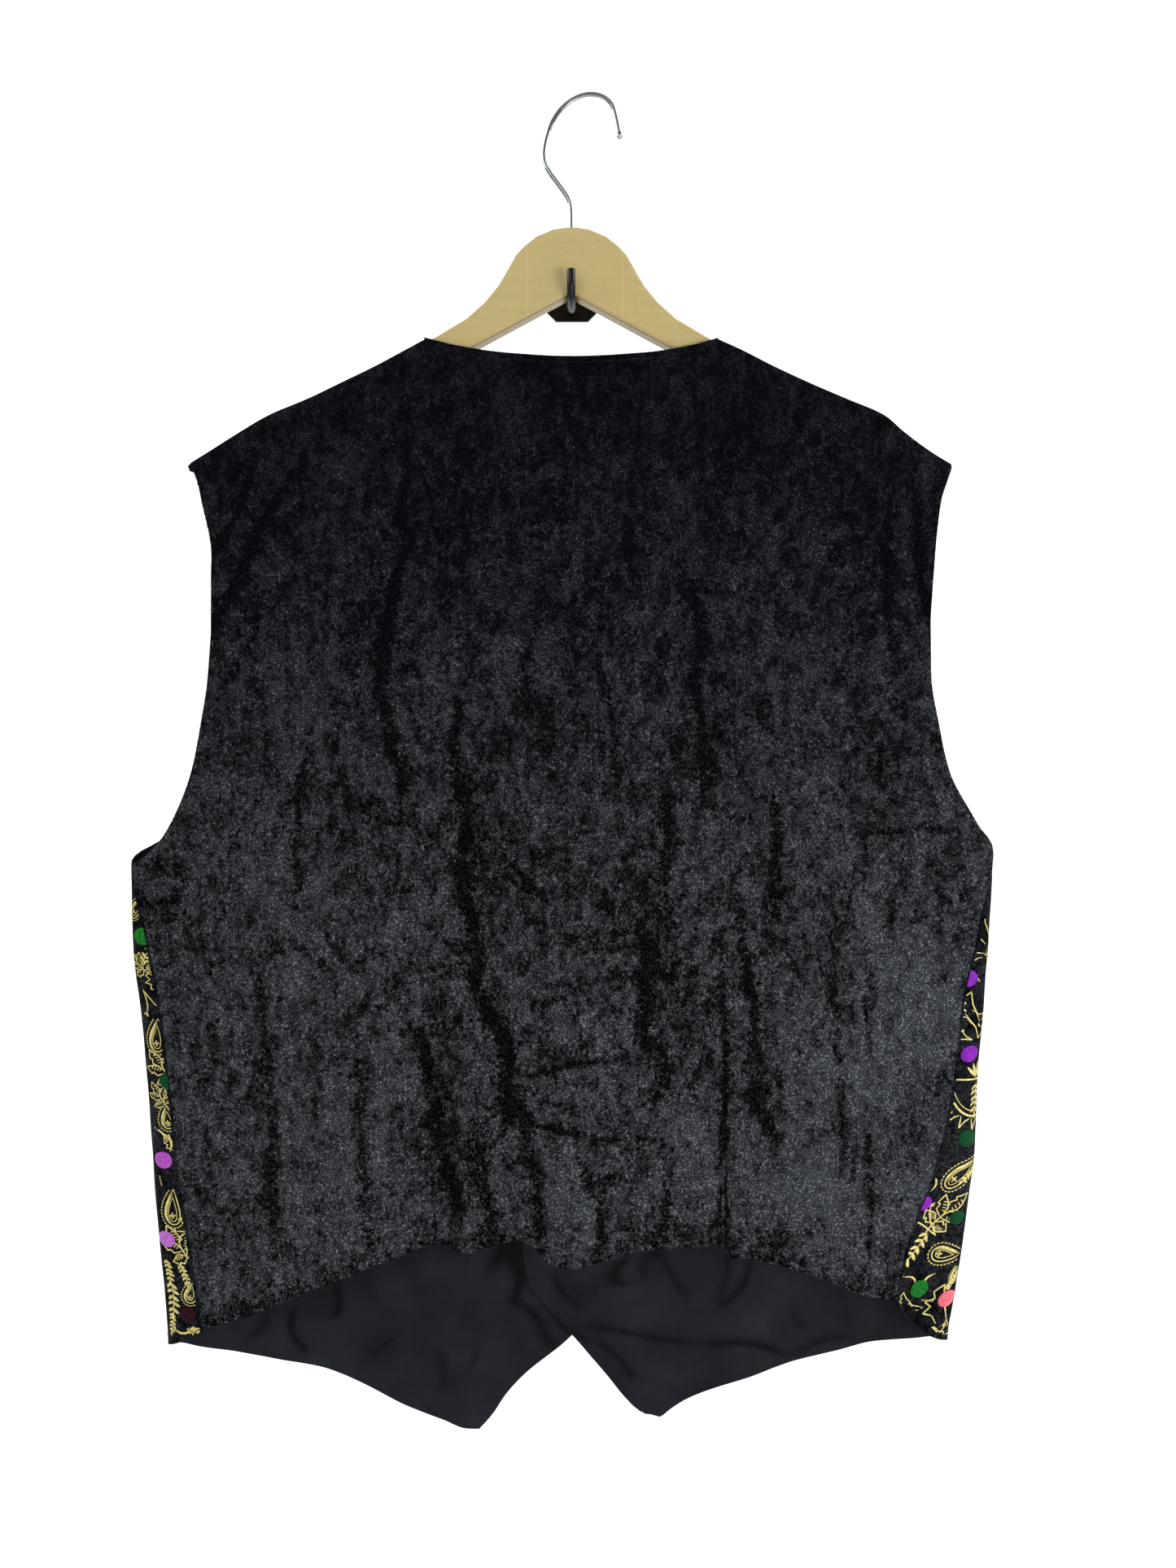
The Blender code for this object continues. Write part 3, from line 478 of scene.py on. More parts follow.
@dataclass(frozen=True)
class VestForm:
    """The form in which the vest hangs, which every panel and all that is sewn on it follow."""

    hanger_y: float = -32.0
    velvet: float = 1.5
    lining: float = 1.0
    gap: float = 0.3
    shoulder: float = 6.4
    corner: float = 2.4
    tip: float = 3.0
    neck_point: float = 96.5
    arm_end: float = 215.0
    arm_height: float = 24.0
    shoulder_fade: float = 90.0
    fold_start: float = 45.0
    overlap_reach: float = 75.0
    overlap_ease: float = 35.0
    dart_length: float = 190.0
    deepest_fold: float = 7.5
    band: float = 10.0
    hem: float = 7.0
    neck_stitch: float = 4.0
    pressed: float = 0.35
    thicker: float = 0.3
    back_crumple: Crumple = Crumple(seed=11, height=0.42)
    front_crumple: Crumple = Crumple(seed=23, height=0.30)

    @property
    def overlap_step(self) -> float:
        """How far the left front stands off the right one."""
        return self.lining + self.velvet + 4 * self.gap

    def nose_radius(self, z: np.ndarray) -> np.ndarray:
        """Radius of the inside of the round fold at the sides."""
        return SECTION.read(z, 1)

    def nose_centre(self, z: np.ndarray, sign: np.ndarray | float) -> np.ndarray:
        """Distance out to the centre of the round fold.

        Args:
            z: Height.
            sign: Minus one on the left, one on the right.

        Returns:
            The distance at each height.
        """
        fold = np.where(np.asarray(sign) < 0, -FOLD.read(z, 0), FOLD.read(z, 1))
        return fold - self.nose_radius(z) - self.velvet

    def shoulder_half(self, x: np.ndarray) -> np.ndarray:
        """Half depth over the hanger, thinner past the arm's end."""
        beyond = ease((np.abs(x) - self.arm_end + 4) / 32)
        return self.shoulder + (self.tip - self.shoulder) * beyond

    def half_depth(self, x: np.ndarray, z: np.ndarray) -> np.ndarray:
        """Half depth of the vest between the hanger and its sides.

        Args:
            x: Place across the cloth.
            z: Height.

        Returns:
            The half depth at each place.
        """
        below = ease((TOP.read(x) - z) / self.shoulder_fade)
        start = self.shoulder_half(x)
        return start + (np.maximum(self.nose_radius(z), self.shoulder) - start) * below

    def bulge_shape(self, x: np.ndarray, z: np.ndarray) -> np.ndarray:
        """Share of the bulge: one in the middle, none at the side folds.

        Args:
            x: Place across the cloth.
            z: Height.

        Returns:
            The share at each place.
        """
        return ease(1 - (x / self.nose_centre(z, np.sign(x))) ** 2)

    def fold_depth(self, folds: Sequence[Sequence[float]], x: np.ndarray,
                   z: np.ndarray) -> np.ndarray:
        """Depth of the large folds, each fading out at its two ends.

        Args:
            folds: Rows of top x, top z, bottom x, bottom z, half width and depth.
            x: Place across the cloth.
            z: Height.

        Returns:
            The depth inwards at each place.
        """
        total = np.zeros(np.broadcast(x, z).shape)
        for x0, z0, x1, z1, half_width, depth in folds:
            along = (z0 - z) / (z0 - z1)
            across = (x - (x0 + (x1 - x0) * along)) / half_width
            fade = ease((along + 0.2) / 0.4) * ease((1.2 - along) / 0.4)
            total += depth * fade * bell(across)
        return total

    def dart_depth(self, x: np.ndarray, z: np.ndarray, narrow: float = 1.0) -> np.ndarray:
        """Depth of the two waist darts.

        Args:
            x: Place across the cloth.
            z: Height.
            narrow: How many times narrower than the pressed dart.

        Returns:
            The depth inwards at each place.
        """
        total = np.zeros(np.broadcast(x, z).shape)
        for top, x_top, x_hem, half_width, depth in DARTS:
            along = np.maximum((top - z) / self.dart_length, 0.0)
            line = x_top + (x_hem - x_top) * np.minimum(along, 1.0)
            across = (x - line) / half_width * narrow
            total += depth * ease(along * 2.5) * np.exp(-2.5 * across * across)
        return total

    def relief_share(self, x: np.ndarray, z: np.ndarray) -> np.ndarray:
        """How far folds may form: none on the hanger's arms or at the side folds.

        Args:
            x: Place across the cloth.
            z: Height.

        Returns:
            The share at each place.
        """
        below = ease((TOP.read(x) - z - self.arm_height) / self.fold_start)
        return ease(self.bulge_shape(x, z) * 6) * below

    def back_depth(self, x: np.ndarray, z: np.ndarray) -> np.ndarray:
        """Place in depth of the back's inner face.

        Args:
            x: Place across the cloth.
            z: Height.

        Returns:
            y at each place.
        """
        relief = self.fold_depth(BACK_FOLDS, x, z) + self.dart_depth(x, z)
        relief = np.minimum(relief * self.relief_share(x, z), self.deepest_fold)
        bulge = SECTION.read(z, 2) * self.bulge_shape(x, z)
        return SECTION.read(z, 0) - self.half_depth(x, z) - bulge + relief

    def front_depth(self, x: np.ndarray, z: np.ndarray) -> np.ndarray:
        """Place in depth of the fronts' inner face.

        Args:
            x: Place across the cloth.
            z: Height.

        Returns:
            y at each place.
        """
        relief = self.fold_depth(FRONT_FOLDS, x, z) * self.relief_share(x, z)
        bulge = SECTION.read(z, 3) * self.bulge_shape(x, z)
        return SECTION.read(z, 0) + self.half_depth(x, z) + bulge + relief

    def back_place(self, x: np.ndarray, z: np.ndarray, lift: np.ndarray | float) -> np.ndarray:
        """Points of the back.

        Args:
            x: Distance along the cloth from the middle, negative on the left.
            z: Height.
            lift: Distance outwards from the inner face.

        Returns:
            Points, with x, y and z in the last axis.
        """
        sign = np.where(x < 0, -1.0, 1.0)
        centre, radius = self.nose_centre(z, sign), self.nose_radius(z)
        turn = np.maximum(np.abs(x) - centre, 0.0) / radius
        flat = turn <= 0
        across = np.where(flat, np.abs(x), centre + (radius + lift) * np.sin(turn))
        round_y = SECTION.read(z, 0) - (radius + lift) * np.cos(turn)
        y = np.where(flat, self.back_depth(x, z) - lift, round_y)
        return np.stack(np.broadcast_arrays(sign * across, y, z), axis=-1)

    def front_place(self, out: np.ndarray, z: np.ndarray, side: Side,
                    lift: np.ndarray | float) -> np.ndarray:
        """Points of a front, which runs out to the side, round its fold and over the back.

        Args:
            out: Distance along the cloth from the middle of the vest.
            z: Height.
            side: Which front.
            lift: Distance outwards from the inner face.

        Returns:
            Points, with x, y and z in the last axis.
        """
        sign = side.sign
        centre, radius = self.nose_centre(z, sign), self.nose_radius(z)
        turn = (out - centre) / radius
        step = self.overlap_step if side is Side.LEFT else 0.0
        over = step * ease((self.overlap_reach - out) / self.overlap_ease)
        flat = np.stack(np.broadcast_arrays(
            sign * out, self.front_depth(sign * out, z) + lift + over, z), axis=-1)
        nose = np.stack(np.broadcast_arrays(
            sign * (centre + (radius + lift) * np.sin(turn)),
            SECTION.read(z, 0) + (radius + lift) * np.cos(turn), z), axis=-1)
        behind = 2 * centre - out + math.pi * radius
        back = self.back_place(sign * behind, z, lift)
        turn = turn[..., None]
        return np.where(turn <= 0, flat, np.where(turn < math.pi, nose, back))

    def uncovered(self, out: np.ndarray, z: np.ndarray, side: Side, room: float) -> np.ndarray:
        """Whether places on a front lie clear of the buttons and of the front laid over it.

        Args:
            out: Distance along the cloth from the middle of the vest.
            z: Height.
            side: Which front.
            room: Room that is kept round each place.

        Returns:
            True for each clear place.
        """
        if side is Side.RIGHT:
            return out > CLOSING[Side.LEFT].read(z) + room
        away = [np.hypot(out + BUTTON_X, z - height) for height in BUTTON_HEIGHTS]
        return np.min(away, axis=0) > BUTTON_RADIUS + room

    def seam_turn(self, z: np.ndarray, side: Side) -> tuple[np.ndarray, np.ndarray]:
        """Where the side seam lies.

        Args:
            z: Height.
            side: Which side.

        Returns:
            How far the seam lies beyond the centre of the fold, and its angle from the back.
        """
        centre, radius = self.nose_centre(z, side.sign), self.nose_radius(z)
        reach = np.abs(SEAM.read(z, COLUMN[side])) - centre
        return reach, np.arcsin(np.clip(reach / (radius + self.velvet), 0.0, 1.0))

    def seam_from_back(self, z: np.ndarray, side: Side) -> np.ndarray:
        """Distance out along the back to the side seam.

        Args:
            z: Height.
            side: Which side.

        Returns:
            The distance at each height.
        """
        centre, radius = self.nose_centre(z, side.sign), self.nose_radius(z)
        reach, angle = self.seam_turn(z, side)
        return np.where(reach > 0, centre + radius * angle, centre + reach) - self.gap / 2

    def seam_from_front(self, z: np.ndarray, side: Side) -> np.ndarray:
        """Distance out along a front to the side seam.

        Args:
            z: Height.
            side: Which side.

        Returns:
            The distance at each height.
        """
        centre, radius = self.nose_centre(z, side.sign), self.nose_radius(z)
        reach, angle = self.seam_turn(z, side)
        round_it = centre + radius * (math.pi - angle)
        past_it = centre + math.pi * radius - reach
        return np.where(reach > 0, round_it, past_it) - self.gap / 2

    def back_edge(self, z: np.ndarray, side: Side) -> np.ndarray:
        """Distance out to the back's edge: armhole, then side seam.

        Args:
            z: Height.
            side: Which side.

        Returns:
            The distance at each height.
        """
        pit = PIT_Z[side]
        arm = np.minimum(np.abs(ARMHOLE.read(z, COLUMN[side])), self.seam_from_back(pit, side))
        return np.where(z >= pit, arm, self.seam_from_back(z, side))

    def front_edge(self, z: np.ndarray, side: Side) -> np.ndarray:
        """Distance out to a front's edge: armhole, a turn round the fold, side seam.

        Args:
            z: Height.
            side: Which side.

        Returns:
            The distance at each height.
        """
        lift, pit = ARMHOLE_LIFT[side], PIT_Z[side]
        lowest = FRONT_ARMHOLE[-1][0]
        top = lowest + lift
        start = FRONT_ARM.read(lowest, COLUMN[side])
        share = np.clip((top - z) / (top - pit), 0.0, 1.0)
        round_it = start + (self.seam_from_front(pit, side) - start) * share**0.8
        below = np.where(z > pit, round_it, self.seam_from_front(z, side))
        return np.where(z >= top, FRONT_ARM.read(z - lift, COLUMN[side]), below)

    def panel_top(self, x: np.ndarray) -> np.ndarray:
        """Height where the turn over the hanger ends and the hanging panel starts."""
        return TOP.read(x) - self.velvet - self.corner

    def turned(self, x: np.ndarray, toward: float, angle: float | None,
               lift: float) -> np.ndarray:
        """A row of points on the turn over the top of the hanger.

        Args:
            x: Place across the cloth.
            toward: Minus one for the back, one for the fronts.
            angle: Degrees round the corner, or none for the shoulder seam on top.
            lift: Distance outwards from the inner face.

        Returns:
            Points, with x, y and z in the last axis.
        """
        crest = TOP.read(x) - self.velvet
        if angle is None:
            y = np.full_like(x, self.hanger_y + toward * self.gap / 2)
            return np.stack((x, y, crest + lift), axis=-1)
        radius = self.corner + lift
        reach = self.shoulder_half(x) - self.corner + radius * math.sin(math.radians(angle))
        z = crest - self.corner + radius * math.cos(math.radians(angle))
        return np.stack((x, self.hanger_y + toward * reach, z), axis=-1)

    def back_relief(self, x: np.ndarray, z: np.ndarray) -> np.ndarray:
        """Fine relief of the back: crumple, creases, dart seams, bands and hem.

        Args:
            x: Distance along the cloth from the middle.
            z: Height.

        Returns:
            Lift outwards at each place.
        """
        hanging = ease((TOP.read(x) - z - self.arm_height) / self.fold_start)
        lift = self.back_crumple.lift(x, z) * hanging
        lift = lift - crease_depth(BACK_CREASES, x, z) * ease((TOP.read(x) - z - 8) / 40)
        lift = lift - 0.7 * self.dart_depth(x, z, narrow=4.0)
        side_in = np.where(x < 0, self.back_edge(z, Side.LEFT), self.back_edge(z, Side.RIGHT))
        side_in = side_in - np.abs(x)
        is_arm = ease((z - np.where(x < 0, PIT_Z[Side.LEFT], PIT_Z[Side.RIGHT])) / 6 + 1)
        lift = lift + self.pressed * is_arm * (1 - ease((side_in - self.band + 2) / 3))
        lift = lift - self.pressed * is_arm * bell((side_in - self.band) / 1.6)
        up = z - HEM.read(x)
        lift = lift + self.thicker * (1 - ease((up - self.hem + 2) / 3))
        lift = lift - self.pressed * bell((up - self.hem) / 1.5)
        in_neck = ease((self.neck_point + 2 - np.abs(x)) / 4)
        down = TOP.read(x) - z
        return lift - self.thicker * in_neck * bell((down - self.neck_stitch) / 1.3)

    def front_relief(self, out: np.ndarray, z: np.ndarray, side: Side) -> np.ndarray:
        """Fine relief of a front, the same at one place for both so that they lie flat together.

        Args:
            out: Distance along the cloth from the middle.
            z: Height.
            side: Which front.

        Returns:
            Lift outwards at each place.
        """
        x = side.sign * out
        flat_x = np.clip(x, -250.0, 250.0)
        hanging = ease((TOP.read(flat_x) - z - self.arm_height) / self.fold_start)
        lift = self.front_crumple.lift(x, z) - crease_depth(FRONT_CREASES, x, z)
        return lift * hanging


@dataclass(frozen=True)
class Finish:
    """What every finish shares: a name, and how its material starts."""

    name: str

    def begin(self) -> tuple[bpy.types.Material, bpy.types.NodeTree, bpy.types.Node,
                             bpy.types.NodeSocket]:
        """Start the material.

        Returns:
            The material, its nodes, its shader and the socket with places on the object in metres.
        """
        material = bpy.data.materials.new(self.name)
        material.use_nodes = True
        tree = material.node_tree
        places = add_node(tree, "ShaderNodeTexCoord").outputs["Object"]
        return material, tree, tree.nodes["Principled BSDF"], places


@dataclass(frozen=True)
class CrushedVelvet(Finish):
    """Polyester velvet, woven with a cut pile that a hot press has crushed in all directions.

    The eye sees near-black where the pile leans away, dull grey patches where it leans over,
    and fine bright points where single fibres glint. These points are painted highlights in the
    colour, and creases and the shoulders get painted shade.
    """

    deep: str = "#020203"
    lain: str = "#323539"
    glint: str = "#B6BAC0"
    # Colour of the painted shade on the shoulders
    shoulder: str = "#05070C"
    patch: float = 8.5
    tuft: float = 2.8
    cloud: float = 55.0
    streak: float = 9.0
    # Real fibre glints are about 0.3 mm apart and are drawn coarser so that they show
    speck: float = 1.25
    sheen: float = 0.015

    def material(self) -> bpy.types.Material:
        """Make the material."""
        material, tree, shader, places = self.begin()
        long = add_node(tree, "ShaderNodeMapping", {"Vector": places, "Scale": (1.0, 1.0, 0.66)})
        patch = add_node(tree, "ShaderNodeTexNoise", {
            "Vector": long, "Scale": per_metre(self.patch), "Detail": 6.0, "Roughness": 0.6,
            "Distortion": 0.6})
        tuft = add_node(tree, "ShaderNodeTexNoise", {
            "Vector": places, "Scale": per_metre(self.tuft), "Detail": 3.0, "Roughness": 0.6,
            "Distortion": 0.8})
        cloud = add_node(tree, "ShaderNodeTexNoise", {
            "Vector": long, "Scale": per_metre(self.cloud), "Detail": 2.0})
        hung = add_node(tree, "ShaderNodeMapping", {"Vector": places, "Scale": (1.0, 1.0, 0.16)})
        streak = add_node(tree, "ShaderNodeTexNoise", {
            "Vector": hung, "Scale": per_metre(self.streak), "Detail": 4.0, "Roughness": 0.6,
            "Distortion": 0.3})
        speck = add_node(tree, "ShaderNodeTexNoise", {
            "Vector": places, "Scale": per_metre(self.speck), "Detail": 2.0, "Roughness": 0.7})
        height = add_node(tree, "ShaderNodeSeparateXYZ", {"Vector": places})
        # Painted light and shade by height: the crush is made darker towards the top and lighter
        # lower down
        height_shading = add_node(tree, "ShaderNodeMapRange", {
            "Value": height.outputs["Z"], "From Min": -0.08, "From Max": -0.60, "To Min": -0.035,
            "To Max": 0.015})
        crushed = height_shading
        for part, weight in ((cloud, 0.15), (streak, 0.10), (patch, 0.44), (tuft, 0.36)):
            crushed = add_node(tree, "ShaderNodeMath", {
                0: part, 1: weight, 2: crushed}, operation="MULTIPLY_ADD")
        # Painted shade in folds and creases, broken into ragged tufts rather than a clean line
        painted_shade = add_node(tree, "ShaderNodeAttribute", attribute_name="painted_shade")
        gate = add_node(tree, "ShaderNodeMapRange", {
            "Value": tuft, "From Min": 0.34, "From Max": 0.56, "To Min": 1.15, "To Max": 0.45})
        broken = add_node(tree, "ShaderNodeMath", {
            0: painted_shade.outputs["Fac"], 1: gate}, operation="MULTIPLY")
        sunk = add_node(tree, "ShaderNodeMath", {
            0: broken, 1: -0.20, 2: crushed}, operation="MULTIPLY_ADD")
        lean = add_node(tree, "ShaderNodeMapRange", {
            "Value": sunk, "From Min": 0.428, "From Max": 0.637}, interpolation_type="SMOOTHSTEP")
        pile = add_node(tree, "ShaderNodeMix", {
            0: lean, FIRST: linear(self.deep), SECOND: linear(self.lain)}, data_type="RGBA")
        # Painted highlights: fine specks mixed towards the glint colour, most where the pile lies
        # over
        points = add_node(tree, "ShaderNodeMapRange", {
            "Value": speck, "From Min": 0.52, "From Max": 0.78})
        lit = add_node(tree, "ShaderNodeMath", {
            0: lean, 1: 0.56, 2: 0.07}, operation="MULTIPLY_ADD")
        shine = add_node(tree, "ShaderNodeMath", {0: points, 1: lit}, operation="MULTIPLY")
        glinting = add_node(tree, "ShaderNodeMix", {
            0: shine, FIRST: pile.outputs[MIXED], SECOND: linear(self.glint)}, data_type="RGBA")
        # Painted shade: towards the shoulders the colour is mixed into a darker, bluer black
        shoulder_shade_share = add_node(tree, "ShaderNodeMapRange", {
            "Value": height.outputs["Z"], "From Min": -0.06, "From Max": -0.50, "To Min": 0.80,
            "To Max": 0.0}, interpolation_type="SMOOTHSTEP")
        colour = add_node(tree, "ShaderNodeMix", {
            0: shoulder_shade_share, FIRST: glinting.outputs[MIXED],
            SECOND: linear(self.shoulder)}, data_type="RGBA")
        rough = add_node(tree, "ShaderNodeMapRange", {
            "Value": lean, "To Min": 0.92, "To Max": 0.62})
        relief = add_node(tree, "ShaderNodeMath", {
            0: tuft, 1: 0.5, 2: patch}, operation="MULTIPLY_ADD")
        bump = add_node(tree, "ShaderNodeBump", {
            "Strength": 0.9, "Distance": 2.6 * MM, "Height": relief})
        fill(tree, shader, {
            "Base Color": colour.outputs[MIXED], "Roughness": rough,
            "Normal": bump, "Specular IOR Level": 0.015, "Sheen Weight": self.sheen,
            "Sheen Roughness": 0.45, "Sheen Tint": linear("#8E9196")})
        return material


@dataclass(frozen=True)
class PlainWeave(Finish):
    """Dyed cotton lining in plain weave: flat, matt, with barely visible threads."""

    dark: str = "#131519"
    light: str = "#22252C"
    # The real cloth has a thread each 0.35 mm; it is drawn coarser so that it shows
    thread: float = 0.9

    def material(self) -> bpy.types.Material:
        """Make the material."""
        material, tree, shader, places = self.begin()
        weft, warp = (add_node(tree, "ShaderNodeTexWave", {
            "Vector": places, "Scale": per_metre(self.thread) / math.tau, "Distortion": 0.6,
            "Detail": 1.0}, bands_direction=way) for way in "ZX")
        cloth = add_node(tree, "ShaderNodeMath", {
            0: weft.outputs["Fac"], 1: warp.outputs["Fac"]}, operation="MULTIPLY")
        worn = add_node(tree, "ShaderNodeTexNoise", {
            "Vector": places, "Scale": per_metre(30.0), "Detail": 4.0})
        blend = add_node(tree, "ShaderNodeMath", {
            0: cloth, 1: 0.16, 2: worn}, operation="MULTIPLY_ADD")
        share = add_node(tree, "ShaderNodeMapRange", {
            "Value": blend, "From Min": 0.3, "From Max": 0.9})
        tone = add_node(tree, "ShaderNodeMix", {
            0: share, FIRST: linear(self.dark), SECOND: linear(self.light)}, data_type="RGBA")
        # Less light comes out of a crease than the soft lights alone would show
        painted_shade = add_node(tree, "ShaderNodeAttribute", attribute_name="painted_shade")
        deep = add_node(tree, "ShaderNodeMath", {
            0: painted_shade.outputs["Fac"], 1: 0.9}, operation="MULTIPLY")
        colour = add_node(tree, "ShaderNodeMix", {
            0: deep, FIRST: tone.outputs[MIXED], SECOND: linear("#050607")}, data_type="RGBA")
        bump = add_node(tree, "ShaderNodeBump", {
            "Strength": 0.14, "Distance": 0.15 * MM, "Height": cloth})
        fill(tree, shader, {
            "Base Color": colour.outputs[MIXED], "Normal": bump, "Roughness": 0.88,
            "Specular IOR Level": 0.1})
        return material


@dataclass(frozen=True)
class LacqueredBeech(Finish):
    """Beech, glued from strips, sawn, sanded and dipped in clear satin lacquer.

    The eye sees pale tan with short fine flecks along the grain and faint pale glue lines. Faces
    that turn downwards get painted shade, a darker brown colour.
    """

    pale: str = "#C3B178"
    dark: str = "#AE9A62"
    fleck: str = "#857146"
    glue: str = "#CDBD8A"
    # Colour of the painted shade on faces that turn downwards
    underside_shade: str = "#6E5C36"
    glue_lines: tuple[float, float] = (-29.0, 34.0)

    def material(self) -> bpy.types.Material:
        """Make the material."""
        material, tree, shader, places = self.begin()
        along = add_node(tree, "ShaderNodeMapping", {"Vector": places, "Scale": (0.12, 1.0, 1.0)})
        grain = add_node(tree, "ShaderNodeTexNoise", {
            "Vector": along, "Scale": per_metre(5.0), "Detail": 5.0, "Roughness": 0.6})
        short = add_node(tree, "ShaderNodeMapping", {"Vector": places, "Scale": (0.22, 1.0, 1.0)})
        flecks = add_node(tree, "ShaderNodeTexNoise", {
            "Vector": short, "Scale": per_metre(0.7), "Detail": 1.0})
        body = add_node(tree, "ShaderNodeMix", {
            0: grain, FIRST: linear(self.pale), SECOND: linear(self.dark)}, data_type="RGBA")
        spots = add_node(tree, "ShaderNodeMapRange", {
            "Value": flecks, "From Min": 0.62, "From Max": 0.78, "To Max": 0.35})
        flecked = add_node(tree, "ShaderNodeMix", {
            0: spots, FIRST: body.outputs[MIXED], SECOND: linear(self.fleck)}, data_type="RGBA")
        place = add_node(tree, "ShaderNodeSeparateXYZ", {"Vector": places})
        colour = flecked
        for line in self.glue_lines:
            off = add_node(tree, "ShaderNodeMath", {
                0: place.outputs["X"], 1: line * MM}, operation="SUBTRACT")
            away = add_node(tree, "ShaderNodeMath", {0: off}, operation="ABSOLUTE")
            joint = add_node(tree, "ShaderNodeMapRange", {
                "Value": away, "From Min": 0.2 * MM, "From Max": 0.8 * MM, "To Min": 0.35,
                "To Max": 0.0})
            colour = add_node(tree, "ShaderNodeMix", {
                0: joint, FIRST: colour.outputs[MIXED],
                SECOND: linear(self.glue)}, data_type="RGBA")
        # Painted shade: faces that turn downwards are mixed towards a darker brown
        facing = add_node(tree, "ShaderNodeNewGeometry").outputs["Normal"]
        upward = add_node(tree, "ShaderNodeSeparateXYZ", {"Vector": facing})
        lower = add_node(tree, "ShaderNodeMapRange", {
            "Value": upward.outputs["Z"], "From Min": -0.25, "From Max": -0.7, "To Max": 0.85})
        colour = add_node(tree, "ShaderNodeMix", {
            0: lower, FIRST: colour.outputs[MIXED], SECOND: linear(self.underside_shade)}, data_type="RGBA")
        bump = add_node(tree, "ShaderNodeBump", {
            "Strength": 0.15, "Distance": 0.1 * MM, "Height": flecks})
        fill(tree, shader, {
            "Base Color": colour.outputs[MIXED], "Normal": bump, "Roughness": 0.42,
            "Coat Weight": 0.25, "Coat Roughness": 0.25})
        return material


@dataclass(frozen=True)
class ZincPlatedSteel(Finish):
    """Drawn steel wire, bright zinc plated: clean grey with faint streaks along the wire."""

    colour: str = "#9C9FA1"
    dull: str = "#75797C"

    def material(self) -> bpy.types.Material:
        """Make the material."""
        material, tree, shader, places = self.begin()
        streak = add_node(tree, "ShaderNodeTexNoise", {
            "Vector": places, "Scale": per_metre(2.5), "Detail": 4.0})
        tone = add_node(tree, "ShaderNodeMix", {
            0: streak, FIRST: linear(self.colour), SECOND: linear(self.dull)}, data_type="RGBA")
        rough = add_node(tree, "ShaderNodeMapRange", {
            "Value": streak, "To Min": 0.16, "To Max": 0.30})
        fill(tree, shader, {
            "Base Color": tone.outputs[MIXED], "Roughness": rough, "Metallic": 1.0})
        return material


@dataclass(frozen=True)
class SatinEnamel(Finish):
    """Baked enamel on steel, satin black: even, with a very slight orange peel."""

    colour: str = "#060607"
    worn: str = "#101011"

    def material(self) -> bpy.types.Material:
        """Make the material."""
        material, tree, shader, places = self.begin()
        peel = add_node(tree, "ShaderNodeTexNoise", {
            "Vector": places, "Scale": per_metre(1.6), "Detail": 3.0})
        tone = add_node(tree, "ShaderNodeMix", {
            0: peel, FIRST: linear(self.colour), SECOND: linear(self.worn)}, data_type="RGBA")
        bump = add_node(tree, "ShaderNodeBump", {
            "Strength": 0.12, "Distance": 0.1 * MM, "Height": peel})
        fill(tree, shader, {
            "Base Color": tone.outputs[MIXED], "Normal": bump, "Roughness": 0.36,
            "Specular IOR Level": 0.2})
        return material


@dataclass(frozen=True)
class MouldedPlastic(Finish):
    """Polyester resin, turned and tumbled to a polish, with a faint cloudy figure."""

    colour: str = "#0D0D0F"
    cloud: str = "#26262A"
    roughness: float = 0.22

    def material(self) -> bpy.types.Material:
        """Make the material."""
        material, tree, shader, places = self.begin()
        figure = add_node(tree, "ShaderNodeTexNoise", {
            "Vector": places, "Scale": per_metre(6.0), "Detail": 3.0, "Distortion": 1.5})
        tone = add_node(tree, "ShaderNodeMix", {
            0: figure, FIRST: linear(self.colour), SECOND: linear(self.cloud)}, data_type="RGBA")
        scuffs = add_node(tree, "ShaderNodeTexNoise", {
            "Vector": places, "Scale": per_metre(1.0), "Detail": 4.0})
        rough = add_node(tree, "ShaderNodeMapRange", {
            "Value": scuffs, "To Min": self.roughness - 0.06, "To Max": self.roughness + 0.12})
        fill(tree, shader, {
            "Base Color": tone.outputs[MIXED], "Roughness": rough, "IOR": 1.55})
        return material


@dataclass(frozen=True)
class Paint(Finish):
    """Plain matt paint of the studio's floor and wall."""

    colour: str = "#FFFFFF"

    def material(self) -> bpy.types.Material:
        """Make the material."""
        material, tree, shader, _ = self.begin()
        fill(tree, shader, {"Base Color": linear(self.colour), "Roughness": 0.9})
        return material


def add_mesh(name: str, points: np.ndarray, faces: list[tuple[int, ...]],
             materials: Sequence[bpy.types.Material], sharp: float = 50.0) -> bpy.types.Object:
    """Make a smooth-shaded object from points in millimetres.

    Args:
        name: Name of the piece.
        points: One row of x, y and z for each point.
        faces: Point numbers of each face.
        materials: Materials of the piece, in the order of their numbers.
        sharp: Angle in degrees above which an edge stays sharp.

    Returns:
        The new object, already in the scene.
    """
    mesh = bpy.data.meshes.new(name)
    mesh.from_pydata((points * MM).tolist(), [], faces)
    for material in materials:
        mesh.materials.append(material)
    mesh.shade_smooth()
    mesh.set_sharp_from_angle(angle=math.radians(sharp))
    piece = bpy.data.objects.new(name, mesh)
    bpy.context.scene.collection.objects.link(piece)
    return piece


def sheet_faces(rows: int, columns: int, start: int, flip: bool) -> list[tuple[int, ...]]:
    """Four-sided faces of a grid of points.

    Args:
        rows: Rows of points.
        columns: Points in a row.
        start: Number of the grid's first point.
        flip: Whether the faces turn the other way.

    Returns:
        Point numbers of each face.
    """
    i, j = np.meshgrid(np.arange(rows - 1), np.arange(columns - 1), indexing="ij")
    a = (start + i * columns + j).ravel()
    corners = np.stack((a, a + 1, a + columns + 1, a + columns), axis=1)
    if flip:
        corners = corners[:, ::-1]
    return [tuple(face) for face in corners.tolist()]


